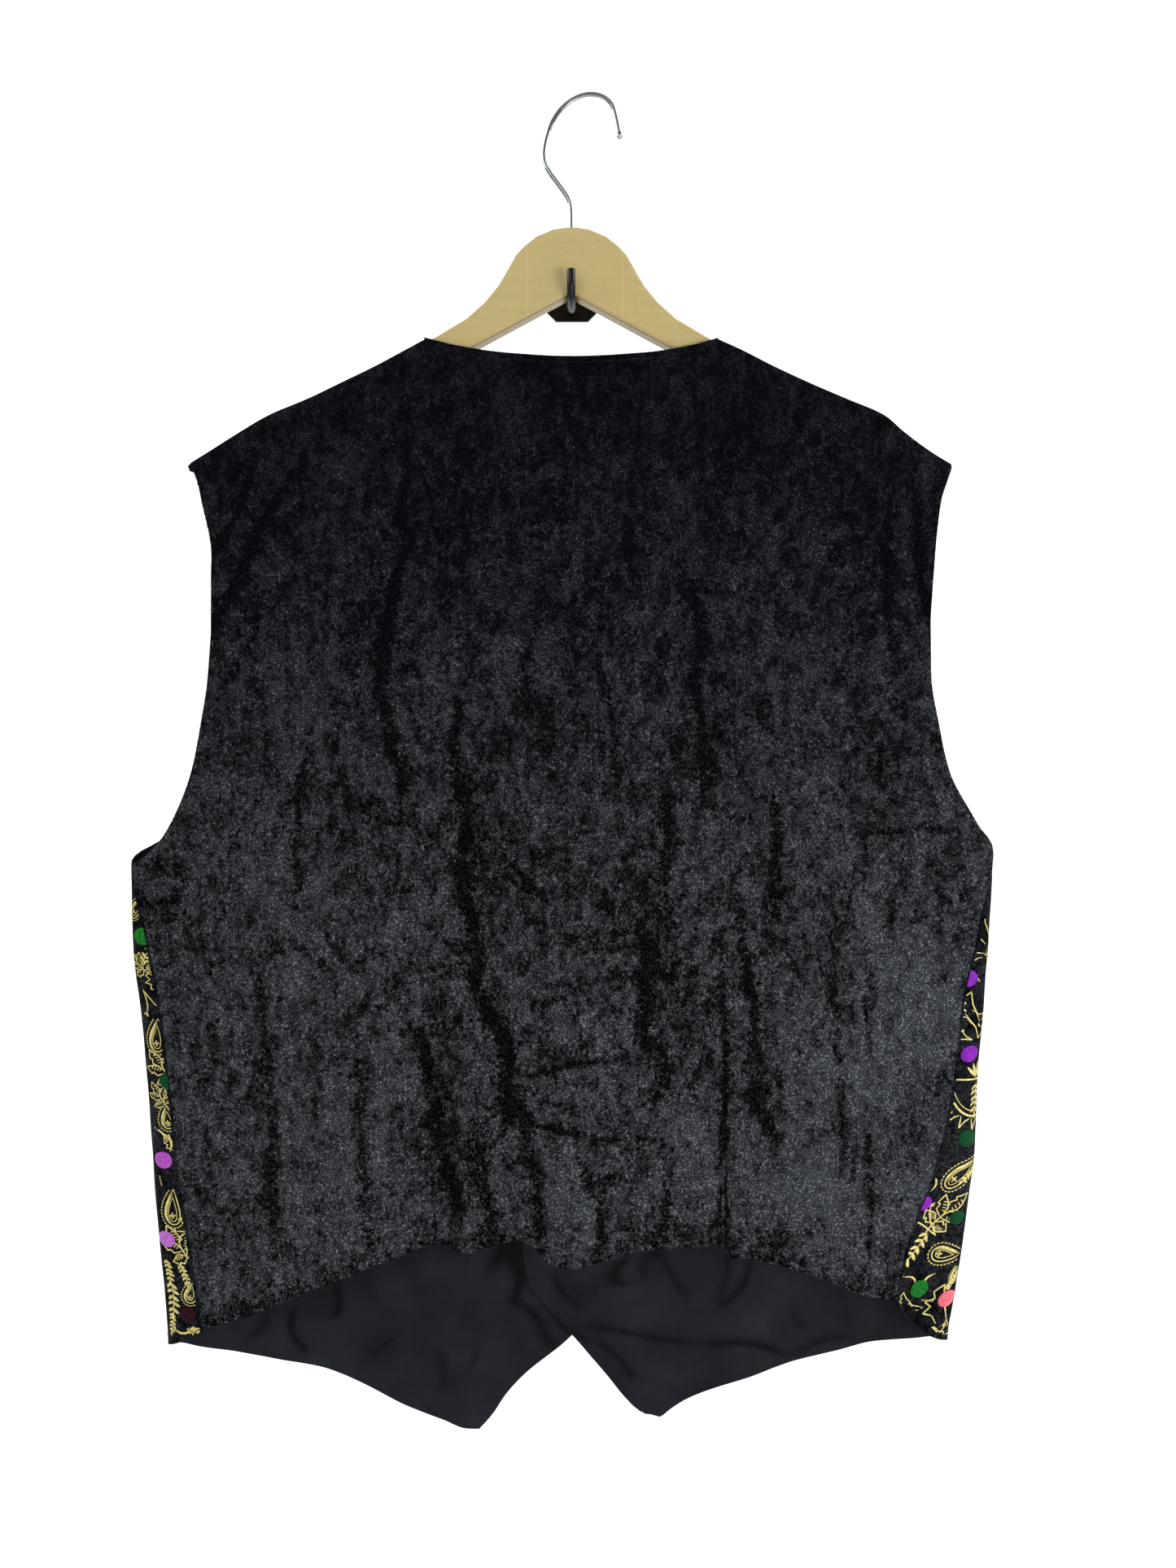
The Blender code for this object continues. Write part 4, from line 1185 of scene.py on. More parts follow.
def shell(name: str, outer: np.ndarray, inner: np.ndarray, flip: bool,
          materials: Sequence[bpy.types.Material]) -> bpy.types.Object:
    """Make one closed thin shell between two grids of points.

    Args:
        name: Name of the piece.
        outer: Grid of the outer face, with x, y and z in the last axis.
        inner: Grid of the inner face.
        flip: Whether the outer grid's faces turn the other way to point outwards.
        materials: Material of the outer face and rim, and of the inner face.

    Returns:
        The new object.
    """
    rows, columns = outer.shape[:2]
    count = rows * columns
    faces = sheet_faces(rows, columns, 0, flip)
    inside = sheet_faces(rows, columns, count, not flip)
    rim = list(range(columns))
    rim += [i * columns + columns - 1 for i in range(1, rows)]
    rim += [(rows - 1) * columns + j for j in range(columns - 2, -1, -1)]
    rim += [i * columns for i in range(rows - 2, 0, -1)]
    edge = []
    for a, b in zip(rim, rim[1:] + rim[:1]):
        quad = (a, b, b + count, a + count)
        edge.append(quad if flip else quad[::-1])
    points = np.concatenate((outer.reshape(-1, 3), inner.reshape(-1, 3)))
    piece = add_mesh(name, points, faces + edge + inside, materials)
    numbers = np.zeros(len(faces) + len(edge) + len(inside), np.int32)
    numbers[len(faces) + len(edge):] = 1 if len(materials) > 1 else 0
    piece.data.polygons.foreach_set("material_index", numbers)
    return piece


def set_painted_shade(piece: bpy.types.Object, depth: np.ndarray) -> None:
    """Note on each point how much painted shade its colour gets, mostly where it lies in a crease.

    Args:
        piece: The cloth.
        depth: Share for each point, from 0 to 1.
    """
    note = piece.data.attributes.new("painted_shade", "FLOAT", "POINT")
    note.data.foreach_set("value", depth.astype(np.float32).ravel())


def joined(runs: Sequence[np.ndarray], per_run: Sequence[list[tuple[int, ...]]]) -> tuple[
        np.ndarray, list[tuple[int, ...]]]:
    """Put many small meshes together.

    Args:
        runs: Points of each mesh.
        per_run: Faces of each mesh.

    Returns:
        All points and all faces.
    """
    faces, start = [], 0
    for points, own in zip(runs, per_run):
        faces.extend(tuple(start + n for n in face) for face in own)
        start += len(points)
    return np.concatenate(runs), faces


@dataclass
class BackPanel:
    """The back: one panel of crushed velvet with two waist darts."""

    form: VestForm
    rows: int = 206
    outer: int = 48
    middle: int = 90
    turns: tuple[float | None, ...] = (None, 0.0, 18.0, 36.0, 54.0, 72.0)
    dart_half: float = 5.0
    neck_half: float = 0.6
    hem_shade: float = 22.0
    cut: tuple[float, float] = (0.585, 0.655)
    cut_area: float = 0.30

    def columns(self, share: float) -> np.ndarray:
        """Place across of each column in a row.

        Args:
            share: How far down the panel the row lies, from 0 to 1.

        Returns:
            Distances along the cloth, from the left edge to the right one.
        """
        form = self.form
        heights = []
        for side, hem in ((Side.LEFT, BACK_HEM[0][1]), (Side.RIGHT, BACK_HEM[-1][1])):
            top = form.panel_top(side.sign * TIP_OUT[side])
            heights.append(top + share * (hem - top))
        left = -form.back_edge(heights[0], Side.LEFT)
        right = form.back_edge(heights[1], Side.RIGHT)
        first = -form.neck_point + (form.neck_point + DARTS[0][2]) * share
        second = 97 + (DARTS[1][2] - 97) * share
        near = self.neck_half + (self.dart_half - self.neck_half) * ease(share / 0.06)
        spread = (np.arange(self.outer) / self.outer) ** 1.15
        steps = np.array([0.0, 0.35, 0.7])
        return np.concatenate((
            left + (first - self.dart_half - left) * spread,
            first - self.dart_half * (1 - steps),
            first + near * steps,
            np.linspace(first + near, second - near, self.middle),
            second - near * (1 - steps[1:]),
            second + self.dart_half * steps,
            right + (second + self.dart_half - right) * spread[::-1],
        ))

    def grids(self) -> tuple[np.ndarray, np.ndarray, np.ndarray]:
        """Points of the two faces.

        Returns:
            The outer grid, the inner grid and the painted shade of each point.
        """
        form = self.form
        tops, hems = self.columns(0.0), self.columns(1.0)
        crest, drop = TOP.read(tops), form.velvet + form.corner
        over_hanger = (np.abs(tops) >= form.neck_point - 0.01)[:, None]
        rows: list[list[np.ndarray]] = [[], []]
        for k, angle in enumerate(self.turns):
            z = crest - drop * k / len(self.turns)
            for grid, lift in zip(rows, (form.velvet, 0.0)):
                turned = form.turned(tops, -1.0, angle, lift)
                grid.append(np.where(over_hanger, turned, form.back_place(tops, z, lift)))
        start = form.panel_top(tops)
        ends = HEM.read(hems)
        painted_shades = [np.zeros_like(tops)] * len(self.turns)
        for share in np.linspace(0.0, 1.0, self.rows):
            x = self.columns(share)
            z = start + share * (ends - start)
            relief = form.back_relief(x, z)
            rows[0].append(form.back_place(x, z, form.velvet + relief))
            rows[1].append(form.back_place(x, z, relief))
            painted_shades.append(self.painted_shade(x, z))
        return np.array(rows[0]), np.array(rows[1]), np.array(painted_shades)

    def painted_shade(self, x: np.ndarray, z: np.ndarray) -> np.ndarray:
        """Painted shade where the cloth lies in a fold, a crease or a dart, and darker along the
        hem.

        Args:
            x: Distance along the cloth from the middle.
            z: Height.

        Returns:
            Share at each place, from 0 to 1.
        """
        form = self.form
        fold = form.fold_depth(BACK_FOLDS, x, z) * 0.03
        dart = form.dart_depth(x, z, narrow=2.5) * 0.3
        # Darker along the hem, fading out hem_shade millimetres above it
        darker_near_hem = 0.32 * ease((HEM.read(x) + self.hem_shade - z) / self.hem_shade)
        return np.clip(fold + crease_depth(BACK_PAINTED_SHADING, x, z) + dart + darker_near_hem, -0.3, 1.3)

    def build(self, velvet: bpy.types.Material, reverse: bpy.types.Material) -> bpy.types.Object:
        """Make the panel and put it in place of its solid.

        Args:
            velvet: Finish of the outside.
            reverse: Finish of the inside.

        Returns:
            The panel.
        """
        outer, inner, painted_shades = self.grids()
        piece = shell("back_panel", outer, inner, True, (velvet, reverse))
        set_painted_shade(piece, np.concatenate((painted_shades.ravel(), painted_shades.ravel())))
        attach(piece, "root")
        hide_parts("back")
        return piece


@dataclass
class FrontPanel:
    """A front: printed velvet cut in one with the side that turns round to the back."""

    form: VestForm
    side: Side
    rows: int = 186
    turn_columns: int = 22
    columns: int = 96
    turn_width: float = 36.0
    turns: tuple[float | None, ...] = (None, 0.0, 18.0, 36.0, 54.0, 72.0)
    cut: tuple[float, float] = (0.365, 0.735)
    cut_area: float = 0.185

    def shares(self) -> np.ndarray:
        """Share of the way from the outer edge to the closing edge, for each column."""
        turn = np.linspace(0.0, 1.0, self.turn_columns, endpoint=False)
        return np.concatenate((turn - 1.0, np.linspace(0.0, 1.0, self.columns)))

    def across(self, outer: np.ndarray | float, inner: np.ndarray | float) -> np.ndarray:
        """Distance out of each column.

        Args:
            outer: Distance out of the outer edge.
            inner: Distance out of the closing edge.

        Returns:
            The distances, from the outer edge inwards.
        """
        share = self.shares()
        start = outer - self.turn_width
        return np.where(share < 0, start - share * self.turn_width, start + share * (inner - start))

    def ends(self) -> tuple[np.ndarray, np.ndarray]:
        """Places across at the shoulder, and heights of the hem, for each column."""
        form, table = self.form, FRONT_HEM[self.side]
        tops = self.side.sign * self.across(TIP_OUT[self.side], form.neck_point)
        return tops, table.read(self.across(table.keys[-1], table.keys[0]))

    def row(self, share: float, set_back: float = 0.0) -> tuple[np.ndarray, np.ndarray]:
        """Distances out and heights of one row.

        Args:
            share: How far down the panel the row lies, from 0 to 1.
            set_back: How far the row stops short of the closing edge.

        Returns:
            The distances out and the heights.
        """
        tops, hems = self.ends()
        start = self.form.panel_top(tops)
        z = start + share * (hems - start)
        outer = self.form.front_edge(z[0], self.side)
        inner = self.side.sign * CLOSING[self.side].read(z[-1]) + set_back
        return self.across(outer, inner), z

    def build(self, velvet: bpy.types.Material, reverse: bpy.types.Material) -> bpy.types.Object:
        """Make the panel and put it in place of its solid.

        Args:
            velvet: Finish of the outside.
            reverse: Finish of the inside.

        Returns:
            The panel.
        """
        form, side = self.form, self.side
        tops, _ = self.ends()
        outer = [form.turned(tops, 1.0, angle, form.velvet) for angle in self.turns]
        inner = [form.turned(tops, 1.0, angle, 0.0) for angle in self.turns]
        painted_shades = [np.zeros_like(tops)] * len(self.turns)
        for share in np.linspace(0.0, 1.0, self.rows):
            out, z = self.row(share)
            relief = form.front_relief(out, z, side)
            outer.append(form.front_place(out, z, side, form.velvet + relief))
            inner.append(form.front_place(out, z, side, relief))
            x = side.sign * out
            # Painted shade in the creases and folds of the front
            deep = crease_depth(FRONT_CREASES, x, z) * 0.5
            painted_shades.append(np.clip(deep + form.fold_depth(FRONT_FOLDS, x, z) * 0.1, -0.4, 1.0))
        name = "front_panel_" + side.label
        piece = shell(name, np.array(outer), np.array(inner), side is Side.RIGHT,
                      (velvet, reverse))
        set_painted_shade(piece, np.concatenate((np.array(painted_shades).ravel(),) * 2))
        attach(piece, "root")
        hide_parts("front_" + side.label)
        return piece


@dataclass
class FrontLining:
    """The part of a front's lining that shows below the back's hem."""

    panel: FrontPanel
    rows: int = 66
    first_share: float = 0.7335
    edge_in: float = 5.0
    set_back: float = 1.5
    cut: tuple[float, float] = (0.32, 0.19)
    cut_area: float = 0.056
    # Creases where the lining is a little longer than the velvet: x0, z0, x1, z1, half, depth
    folds: tuple[tuple[float, ...], ...] = (
        (4, -711, 90, -718, 2.6, 0.9), (90, -718, 146, -725, 3.0, 1.1),
        (146, -725, 190, -714, 2.8, 0.8), (-13, -701, 12, -721, 2.2, 1.0),
        (20, -716, 41, -745, 2.4, 0.8), (54, -659, 82, -688, 2.4, 0.7),
        (122, -663, 104, -697, 2.6, 1.0), (104, -659, 103, -694, 2.2, 0.7),
        (-13, -673, 4, -697, 2.2, 0.9), (28, -741, 54, -744, 2.0, 0.6),
        (30, -663, 36, -682, 6.0, 1.0), (62, -655, 46, -676, 5.0, 0.7),
        (150, -690, 158, -712, 3.0, 0.4), (-156, -676, -163, -703, 3.4, 1.1),
        (-189, -695, -182, -728, 3.4, 1.1), (-138, -726, -119, -719, 2.0, 0.7),
        (-66, -718, -68, -742, 2.2, 0.6), (-92, -722, -86, -752, 2.6, 0.5),
        (-110, -660, -72, -652, 5.0, 0.6), (-205, -690, -214, -716, 4.0, 0.7),
    )
    # Shade that the right front's edge throws on the left front's lining
    shade: tuple[tuple[float, ...], ...] = (
        (-38, -645, -39.5, -680, 3.8, 1.8), (-39.5, -680, -34, -698, 3.4, 1.8),
        (-34, -698, -8, -724, 3.2, 1.6), (-60, -640, -44, -668, 9.0, 1.0),
    )

    def build(self, weave: bpy.types.Material) -> bpy.types.Object:
        """Make the lining and put it in place of its solid.

        Args:
            weave: Finish of the cloth.

        Returns:
            The lining.
        """
        panel, form, side = self.panel, self.panel.form, self.panel.side
        keep = slice(int(round(self.edge_in / panel.turn_width * panel.turn_columns)), None)
        faces: list[list[np.ndarray]] = [[], []]
        shades = []
        for share in np.linspace(self.first_share, 1.0, self.rows):
            out, z = panel.row(share, self.set_back)
            if share == 1.0:
                z = z + self.set_back
            out, z = out[keep], z[keep]
            crease = crease_depth(self.folds, side.sign * out, z)
            sag = form.front_relief(out, z, side) - crease
            for face, lift in zip(faces, (-form.gap, -form.gap - form.lining)):
                face.append(form.front_place(out, z, side, lift + sag))
            # Painted shade in the lining's creases, and under the right front's edge on the left
            # lining
            under = crease_depth(self.shade, side.sign * out, z) if side is Side.LEFT else 0.0
            shades.append(np.clip(crease + under, 0.0, 1.0))
        piece = shell("front_lining_" + side.label, np.array(faces[0]), np.array(faces[1]),
                      side is Side.RIGHT, (weave,))
        set_painted_shade(piece, np.concatenate((np.array(shades).ravel(),) * 2))
        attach(piece, "root")
        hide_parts("lining_" + side.label)
        return piece


class Brush(Enum):
    """How wide a printed line is along its length."""

    LINE = "line"
    LEAF = "leaf"


@dataclass(frozen=True)
class Stroke:
    """One printed line: places along it and its width at each, in millimetres."""

    path: np.ndarray
    width: np.ndarray


def stroke(points: Sequence[Sequence[float]], width: float, brush: Brush = Brush.LINE,
           rounded: bool = True, spacing: float = 1.1) -> Stroke:
    """Draw a line through a few points.

    Args:
        points: Places across and up.
        width: Greatest width.
        brush: Even line or leaf.
        rounded: Whether the line bends smoothly or in sharp corners.
        spacing: Distance between its places.

    Returns:
        The stroke.
    """
    path = np.array(points, float)
    if rounded and len(path) > 2:
        padded = np.concatenate((path[:1], path, path[-1:]))
        t = np.linspace(0, 1, 7)[:-1, None]
        parts = []
        for p, q, r, s in zip(padded, padded[1:], padded[2:], padded[3:]):
            parts.append(0.5 * (2 * q + (r - p) * t + (2 * p - 5 * q + 4 * r - s) * t**2
                                + (3 * q - p - 3 * r + s) * t**3))
        path = np.concatenate((*parts, path[-1:]))
    steps = np.hypot(*np.diff(path, axis=0).T)
    run = np.concatenate(([0.0], np.cumsum(steps)))
    count = max(3, int(round(run[-1] / spacing)) + 1)
    places = np.linspace(0, run[-1], count)
    if not rounded:
        places = np.unique(np.concatenate((places, run)))
    path = np.stack([np.interp(places, run, path[:, k]) for k in (0, 1)], axis=1)
    share = places / run[-1]
    if brush is Brush.LEAF:
        profile = np.sin(np.pi * np.clip(share, 0.02, 0.98)) ** 0.75
    else:
        profile = np.minimum(1.0, 0.45 + 4.0 * np.minimum(share, 1 - share))
    return Stroke(path, width * profile)


def drop_outline(height: float, width: float, curl: float, count: int = 60) -> np.ndarray:
    """Outline of a paisley drop, whose tip is on top and curls to one side.

    Args:
        height: Height of the drop.
        width: Width of its round end.
        curl: How far the tip leans over.
        count: Number of points.

    Returns:
        Places across and up.
    """
    t = np.linspace(0.0, 1.0, count) * math.tau
    up = height / 2 * np.cos(t)
    across = width / 2 * np.sin(t) * np.abs(np.sin(t / 2)) ** 1.1
    across = across + curl * (up / height + 0.5) ** 2
    return np.stack((across, up), axis=1)


def beside(points: np.ndarray, gap: float) -> np.ndarray:
    """A line that runs beside another one.

    Args:
        points: Places across and up.
        gap: Distance to the other line's outer side.

    Returns:
        The places moved sideways.
    """
    along = np.gradient(points, axis=0)
    along /= np.maximum(np.linalg.norm(along, axis=1, keepdims=True), 1e-6)
    return points + gap * np.stack((-along[:, 1], along[:, 0]), axis=1)


def petal(root: Sequence[float], lean: float, length: float, width: float) -> Stroke:
    """One filled leaf of a few millimetres.

    Args:
        root: Place of its foot.
        lean: Direction it points to, in degrees from straight up.
        length: Length.
        width: Greatest width.

    Returns:
        The stroke.
    """
    turn = math.radians(lean)
    way = np.array((math.sin(turn), math.cos(turn))) * length
    bow = np.array((way[1], -way[0])) * 0.10
    foot = np.array(root, float)
    return stroke([foot, foot + way / 2 + bow, foot + way], width, Brush.LEAF)


def sprig(length: float, bend: float, leaf: float = 5.2) -> list[Stroke]:
    """A bent stem with leaves in pairs and one on its end.

    Args:
        length: Length of the stem.
        bend: How far it leans over.
        leaf: Length of a leaf.

    Returns:
        The strokes.
    """
    made = [stroke([(0, length / 2), (bend * 0.35, 0), (bend, -length / 2)], 0.7)]
    pairs = max(2, int(length / (leaf * 0.72)))
    for k in range(pairs):
        t = (k + 0.3) / pairs
        foot = (bend * (0.4 * t + 0.6 * t * t), length * (0.5 - t))
        for way in (-1, 1):
            made.append(petal(foot, 180 - way * (44 + 10 * (k % 2)) - bend * 3, leaf, leaf * 0.42))
    made.append(petal((bend, -length / 2), 180 - bend * 3, leaf * 1.1, leaf * 0.42))
    return made


def paisley(height: float, width: float, curl: float) -> list[Stroke]:
    """A paisley drop with a second line inside, a flower in its round end and a dashed rim.

    Args:
        height: Height of the drop.
        width: Width of its round end.
        curl: How far the tip leans over.

    Returns:
        The strokes.
    """
    outline = drop_outline(height, width, curl)
    made = [stroke(outline, 0.85), stroke(beside(outline, -2.3)[8:-8], 0.55),
            stroke(beside(outline, -0.9)[34:54], 1.3, Brush.LEAF)]
    rim = beside(outline, 2.1)
    run = np.concatenate(([0.0], np.cumsum(np.hypot(*np.diff(rim, axis=0).T))))
    for place in np.arange(2.0, run[-1] - 2.0, 2.25):
        ends = [[np.interp(place + d, run, rim[:, k]) for k in (0, 1)] for d in (0.0, 0.8, 1.6)]
        ends[1] = list(beside(np.array(ends), 0.5)[1])
        made.append(stroke(ends, 0.9, spacing=0.8))
    heart = (0.0, -height * 0.24)
    for lean in (0, 90, 180, 270):
        made.append(petal(heart, lean, width * 0.17, width * 0.10))
    return made


def saw_leaf(length: float, width: float) -> list[Stroke]:
    """A leaf of five pointed lobes in outline, each with short ticks along one side.

    Args:
        length: Length of the leaf.
        width: Its greatest width.

    Returns:
        The strokes.
    """
    made = [stroke([(1.5, -length * 0.62), (0.0, -length * 0.35), (0, length * 0.05)], 1.0)]
    lobes = ((-84, 0.42, -0.30), (-44, 0.56, -0.12), (0, 0.62, 0.02), (44, 0.54, -0.12),
             (80, 0.40, -0.30))
    for lean, reach, foot in lobes:
        turn, far = math.radians(lean), length * reach
        wide = width * 0.17
        cos, sin = math.cos(turn), math.sin(turn)
        flat = [(-0.2, 0.0), (-wide, far * 0.38), (-wide * 0.55, far * 0.58),
                (-wide * 0.95, far * 0.66), (0.0, far), (wide * 0.75, far * 0.62),
                (wide * 0.9, far * 0.40), (0.2, 0.0)]
        middle = np.array((0.0, length * foot))
        made.append(stroke([middle + (x * cos + y * sin, -x * sin + y * cos) for x, y in flat],
                           0.85, rounded=False))
        for step in range(4):
            y = far * (0.26 + 0.13 * step)
            tick = [(wide * 0.62, y), (-wide * 0.10, y + 0.7)]
            made.append(stroke([middle + (a * cos + b * sin, -a * sin + b * cos) for a, b in tick],
                               0.6, spacing=0.9))
    return made


def jagged(height: float) -> list[Stroke]:
    """A holly-like leaf in open outline.

    Args:
        height: Height of the leaf.

    Returns:
        The strokes.
    """
    shape = [(0.10, -0.5), (-0.06, -0.28), (-0.30, -0.20), (-0.16, -0.04), (-0.34, 0.10),
             (-0.10, 0.16), (-0.16, 0.34), (0.08, 0.5), (0.12, 0.1), (0.24, -0.2), (0.34, -0.46)]
    return [stroke([(x * height, y * height) for x, y in shape], 0.85, rounded=False),
            petal((0.30 * height, -0.5 * height), 150, 4.0, 1.4)]


def crescent(length: float) -> list[Stroke]:
    """A crescent with a bead at its end.

    Args:
        length: Length from point to point.

    Returns:
        The strokes.
    """
    bow = length * 0.32
    return [stroke([(0, length / 2), (bow * 0.8, length * 0.2), (bow, -length * 0.15),
                    (bow * 0.35, -length / 2)], 1.7, Brush.LEAF),
            stroke([(-0.6, length / 2 + 0.8), (0.5, length / 2 + 1.8)], 1.3, Brush.LEAF)]


def fork(height: float) -> list[Stroke]:
    """A forked branch whose ends widen to small points.

    Args:
        height: Height of the branch.

    Returns:
        The strokes.
    """
    made = []
    foot = (0.42 * height, -0.5 * height)
    for x, y, lean in ((-0.62, 0.12, -42), (-0.02, 0.50, 4)):
        end = (x * height, y * height)
        made.append(stroke([foot, (x * 0.30 * height + 2, (y - 0.42) * height * 0.5), end], 1.0))
        made += [petal(end, lean + way, 3.6, 1.9) for way in (-38, 30)]
    return made


def medallion(radius: float) -> list[Stroke]:
    """A half-round medallion that hangs from a bar, with a sprig in it and a fan on top.

    Args:
        radius: Radius of the half round.

    Returns:
        The strokes.
    """
    made, drop = [], radius * 1.35
    for share, width in ((1.0, 1.3), (0.86, 0.55)):
        turn = np.linspace(math.pi, math.tau, 18)
        made.append(stroke(np.stack((radius * share * np.cos(turn),
                                     drop * share * np.sin(turn)), axis=1), width))
    made.append(stroke([(-radius, 0), (radius, 0)], 1.1))
    for k in range(5):
        lean = math.radians(-48 + 24 * k)
        reach = radius * 0.55
        tip = (math.sin(lean) * reach, 1.2 + math.cos(lean) * reach)
        made.append(stroke([(math.sin(lean) * 1.5, 1.2), tip], 1.9, Brush.LEAF))
    for part in sprig(radius, 0.0, 3.8):
        made.append(Stroke(part.path + (0.0, -drop * 0.48), part.width))
    return made


def fringe(width: float, teeth: int = 6) -> list[Stroke]:
    """A row of outlined points, spread like a fan.

    Args:
        width: Width of the row.
        teeth: Number of points.

    Returns:
        The strokes.
    """
    made = []
    for k in range(teeth):
        lean = math.radians(-40 + 80 * k / (teeth - 1))
        across = np.array((math.cos(lean), math.sin(lean))) * width / teeth * 0.42
        down = np.array((math.sin(lean), -math.cos(lean))) * width * 0.2
        root = np.array((math.sin(lean), -math.cos(lean) + 1)) * width * 0.62
        path = [root - across, root - across * 0.6 + down,
                root + across * 0.2 + down * 0.35, root + across]
        made.append(stroke(path, 0.85, rounded=False))
    return made


def bead_row(length: float, pitch: float = 2.3) -> list[Stroke]:
    """A short row of slanting dashes.

    Args:
        length: Length of the row.
        pitch: Distance between two dashes.

    Returns:
        The strokes.
    """
    return [petal((0, length / 2 - pitch * k), 112, 2.4, 1.1) for k in range(int(length / pitch))]


class Motif(Enum):
    """The blocks that the cloth is printed with."""

    PAISLEY = "paisley"
    ROUND_PAISLEY = "round paisley"
    SPRIG = "sprig"
    SAW_LEAF = "saw leaf"
    CRESCENT = "crescent"
    FORK = "fork"
    MEDALLION = "medallion"
    FRINGE = "fringe"
    BEADS = "beads"
    JAGGED = "jagged leaf"

    def strokes(self) -> list[Stroke]:
        """The block's lines, around its middle."""
        return {
            Motif.PAISLEY: lambda: paisley(25.0, 14.0, 6.0),
            Motif.ROUND_PAISLEY: lambda: paisley(18.0, 13.0, 2.5),
            Motif.SPRIG: lambda: sprig(22.0, -5.0),
            Motif.SAW_LEAF: lambda: saw_leaf(24.0, 21.0),
            Motif.CRESCENT: lambda: crescent(15.0),
            Motif.FORK: lambda: fork(20.0),
            Motif.MEDALLION: lambda: medallion(14.0),
            Motif.FRINGE: lambda: fringe(26.0),
            Motif.BEADS: lambda: bead_row(14.0),
            Motif.JAGGED: lambda: jagged(26.0),
        }[self]()


# Blocks on the sides that wrap to the back, as seen there: block, x, z, turn in degrees, size
SEEN_BLOCKS = {
    Side.LEFT: (
        (Motif.BEADS, -279.0, -424.0, 10, 0.9), (Motif.BEADS, -276.5, -423.0, 10, 0.8),
        (Motif.PAISLEY, -286.0, -420.0, -20, 0.7), (Motif.SPRIG, -279.0, -450.0, 160, 0.7),
        (Motif.SAW_LEAF, -284.0, -458.0, 40, 0.7), (Motif.JAGGED, -273.0, -470.0, 20, 0.62),
        (Motif.FORK, -276.0, -484.0, 150, 0.7), (Motif.PAISLEY, -273.0, -505.0, 6, 0.86),
        (Motif.SPRIG, -266.0, -489.0, 20, 0.5), (Motif.SPRIG, -263.5, -508.0, 12, 0.5),
        (Motif.SAW_LEAF, -267.5, -527.0, 30, 0.95), (Motif.SAW_LEAF, -269.5, -545.0, 24, 0.66),
        (Motif.ROUND_PAISLEY, -265.6, -558.8, 8, 0.82), (Motif.CRESCENT, -267.0, -575.0, 12, 0.9),
        (Motif.CRESCENT, -270.5, -571.0, 20, 0.62), (Motif.JAGGED, -263.0, -576.0, 10, 0.45),
        (Motif.BEADS, -270.0, -601.0, 5, 0.5), (Motif.BEADS, -258.0, -601.0, -6, 0.6),
        (Motif.PAISLEY, -263.2, -618.0, 8, 0.92), (Motif.FORK, -252.5, -632.0, 24, 0.6),
        (Motif.SAW_LEAF, -256.5, -644.0, 24, 1.0), (Motif.SPRIG, -263.0, -659.0, 12, 0.6),
        (Motif.SPRIG, -253.0, -661.5, 24, 0.6),
        (Motif.ROUND_PAISLEY, -250.2, -674.0, -12, 0.8), (Motif.SPRIG, -259.5, -677.0, 8, 0.9),
        (Motif.SPRIG, -261.0, -694.0, 4, 0.55), (Motif.SPRIG, -245.0, -699.0, 70, 0.5),
        (Motif.CRESCENT, -243.0, -690.0, -30, 0.8), (Motif.CRESCENT, -255.0, -697.0, -100, 0.9),
        (Motif.JAGGED, -247.0, -700.0, 80, 0.42), (Motif.BEADS, -238.0, -699.0, 30, 0.5),
    ),
    Side.RIGHT: (
        (Motif.BEADS, 271.0, -415.0, 0, 0.9), (Motif.JAGGED, 268.5, -434.0, 10, 0.9),
        (Motif.PAISLEY, 279.0, -446.0, -16, 0.8), (Motif.JAGGED, 264.0, -452.0, 60, 0.42),
        (Motif.BEADS, 266.0, -468.0, 40, 0.4), (Motif.JAGGED, 260.5, -487.0, 6, 0.82),
        (Motif.JAGGED, 267.5, -497.0, 200, 0.78), (Motif.FORK, 258.0, -506.0, 30, 0.42),
        (Motif.MEDALLION, 266.5, -534.0, 0, 1.3), (Motif.FRINGE, 262.0, -559.5, -8, 1.5),
        (Motif.PAISLEY, 255.5, -594.0, -30, 1.0), (Motif.SPRIG, 263.5, -596.0, -28, 0.55),
        (Motif.CRESCENT, 236.0, -602.0, 0, 0.72), (Motif.SAW_LEAF, 245.0, -622.0, -42, 1.12),
        (Motif.FORK, 233.5, -627.0, 0, 0.95), (Motif.SPRIG, 228.5, -645.0, -14, 1.02),
        (Motif.ROUND_PAISLEY, 246.0, -648.0, -84, 1.02), (Motif.CRESCENT, 235.5, -668.0, 150, 0.9),
        (Motif.CRESCENT, 221.5, -667.0, 50, 0.72), (Motif.JAGGED, 240.5, -682.0, 6, 1.0),
        (Motif.PAISLEY, 251.0, -663.0, 20, 0.42), (Motif.SPRIG, 248.5, -668.0, 170, 0.42),
        (Motif.JAGGED, 218.5, -679.0, 30, 0.42), (Motif.JAGGED, 224.0, -684.0, 60, 0.36),
        (Motif.BEADS, 234.0, -680.0, 84, 0.62), (Motif.JAGGED, 247.0, -699.0, 30, 0.5),
        (Motif.SPRIG, 240.0, -699.0, 60, 0.4),
    ),
}

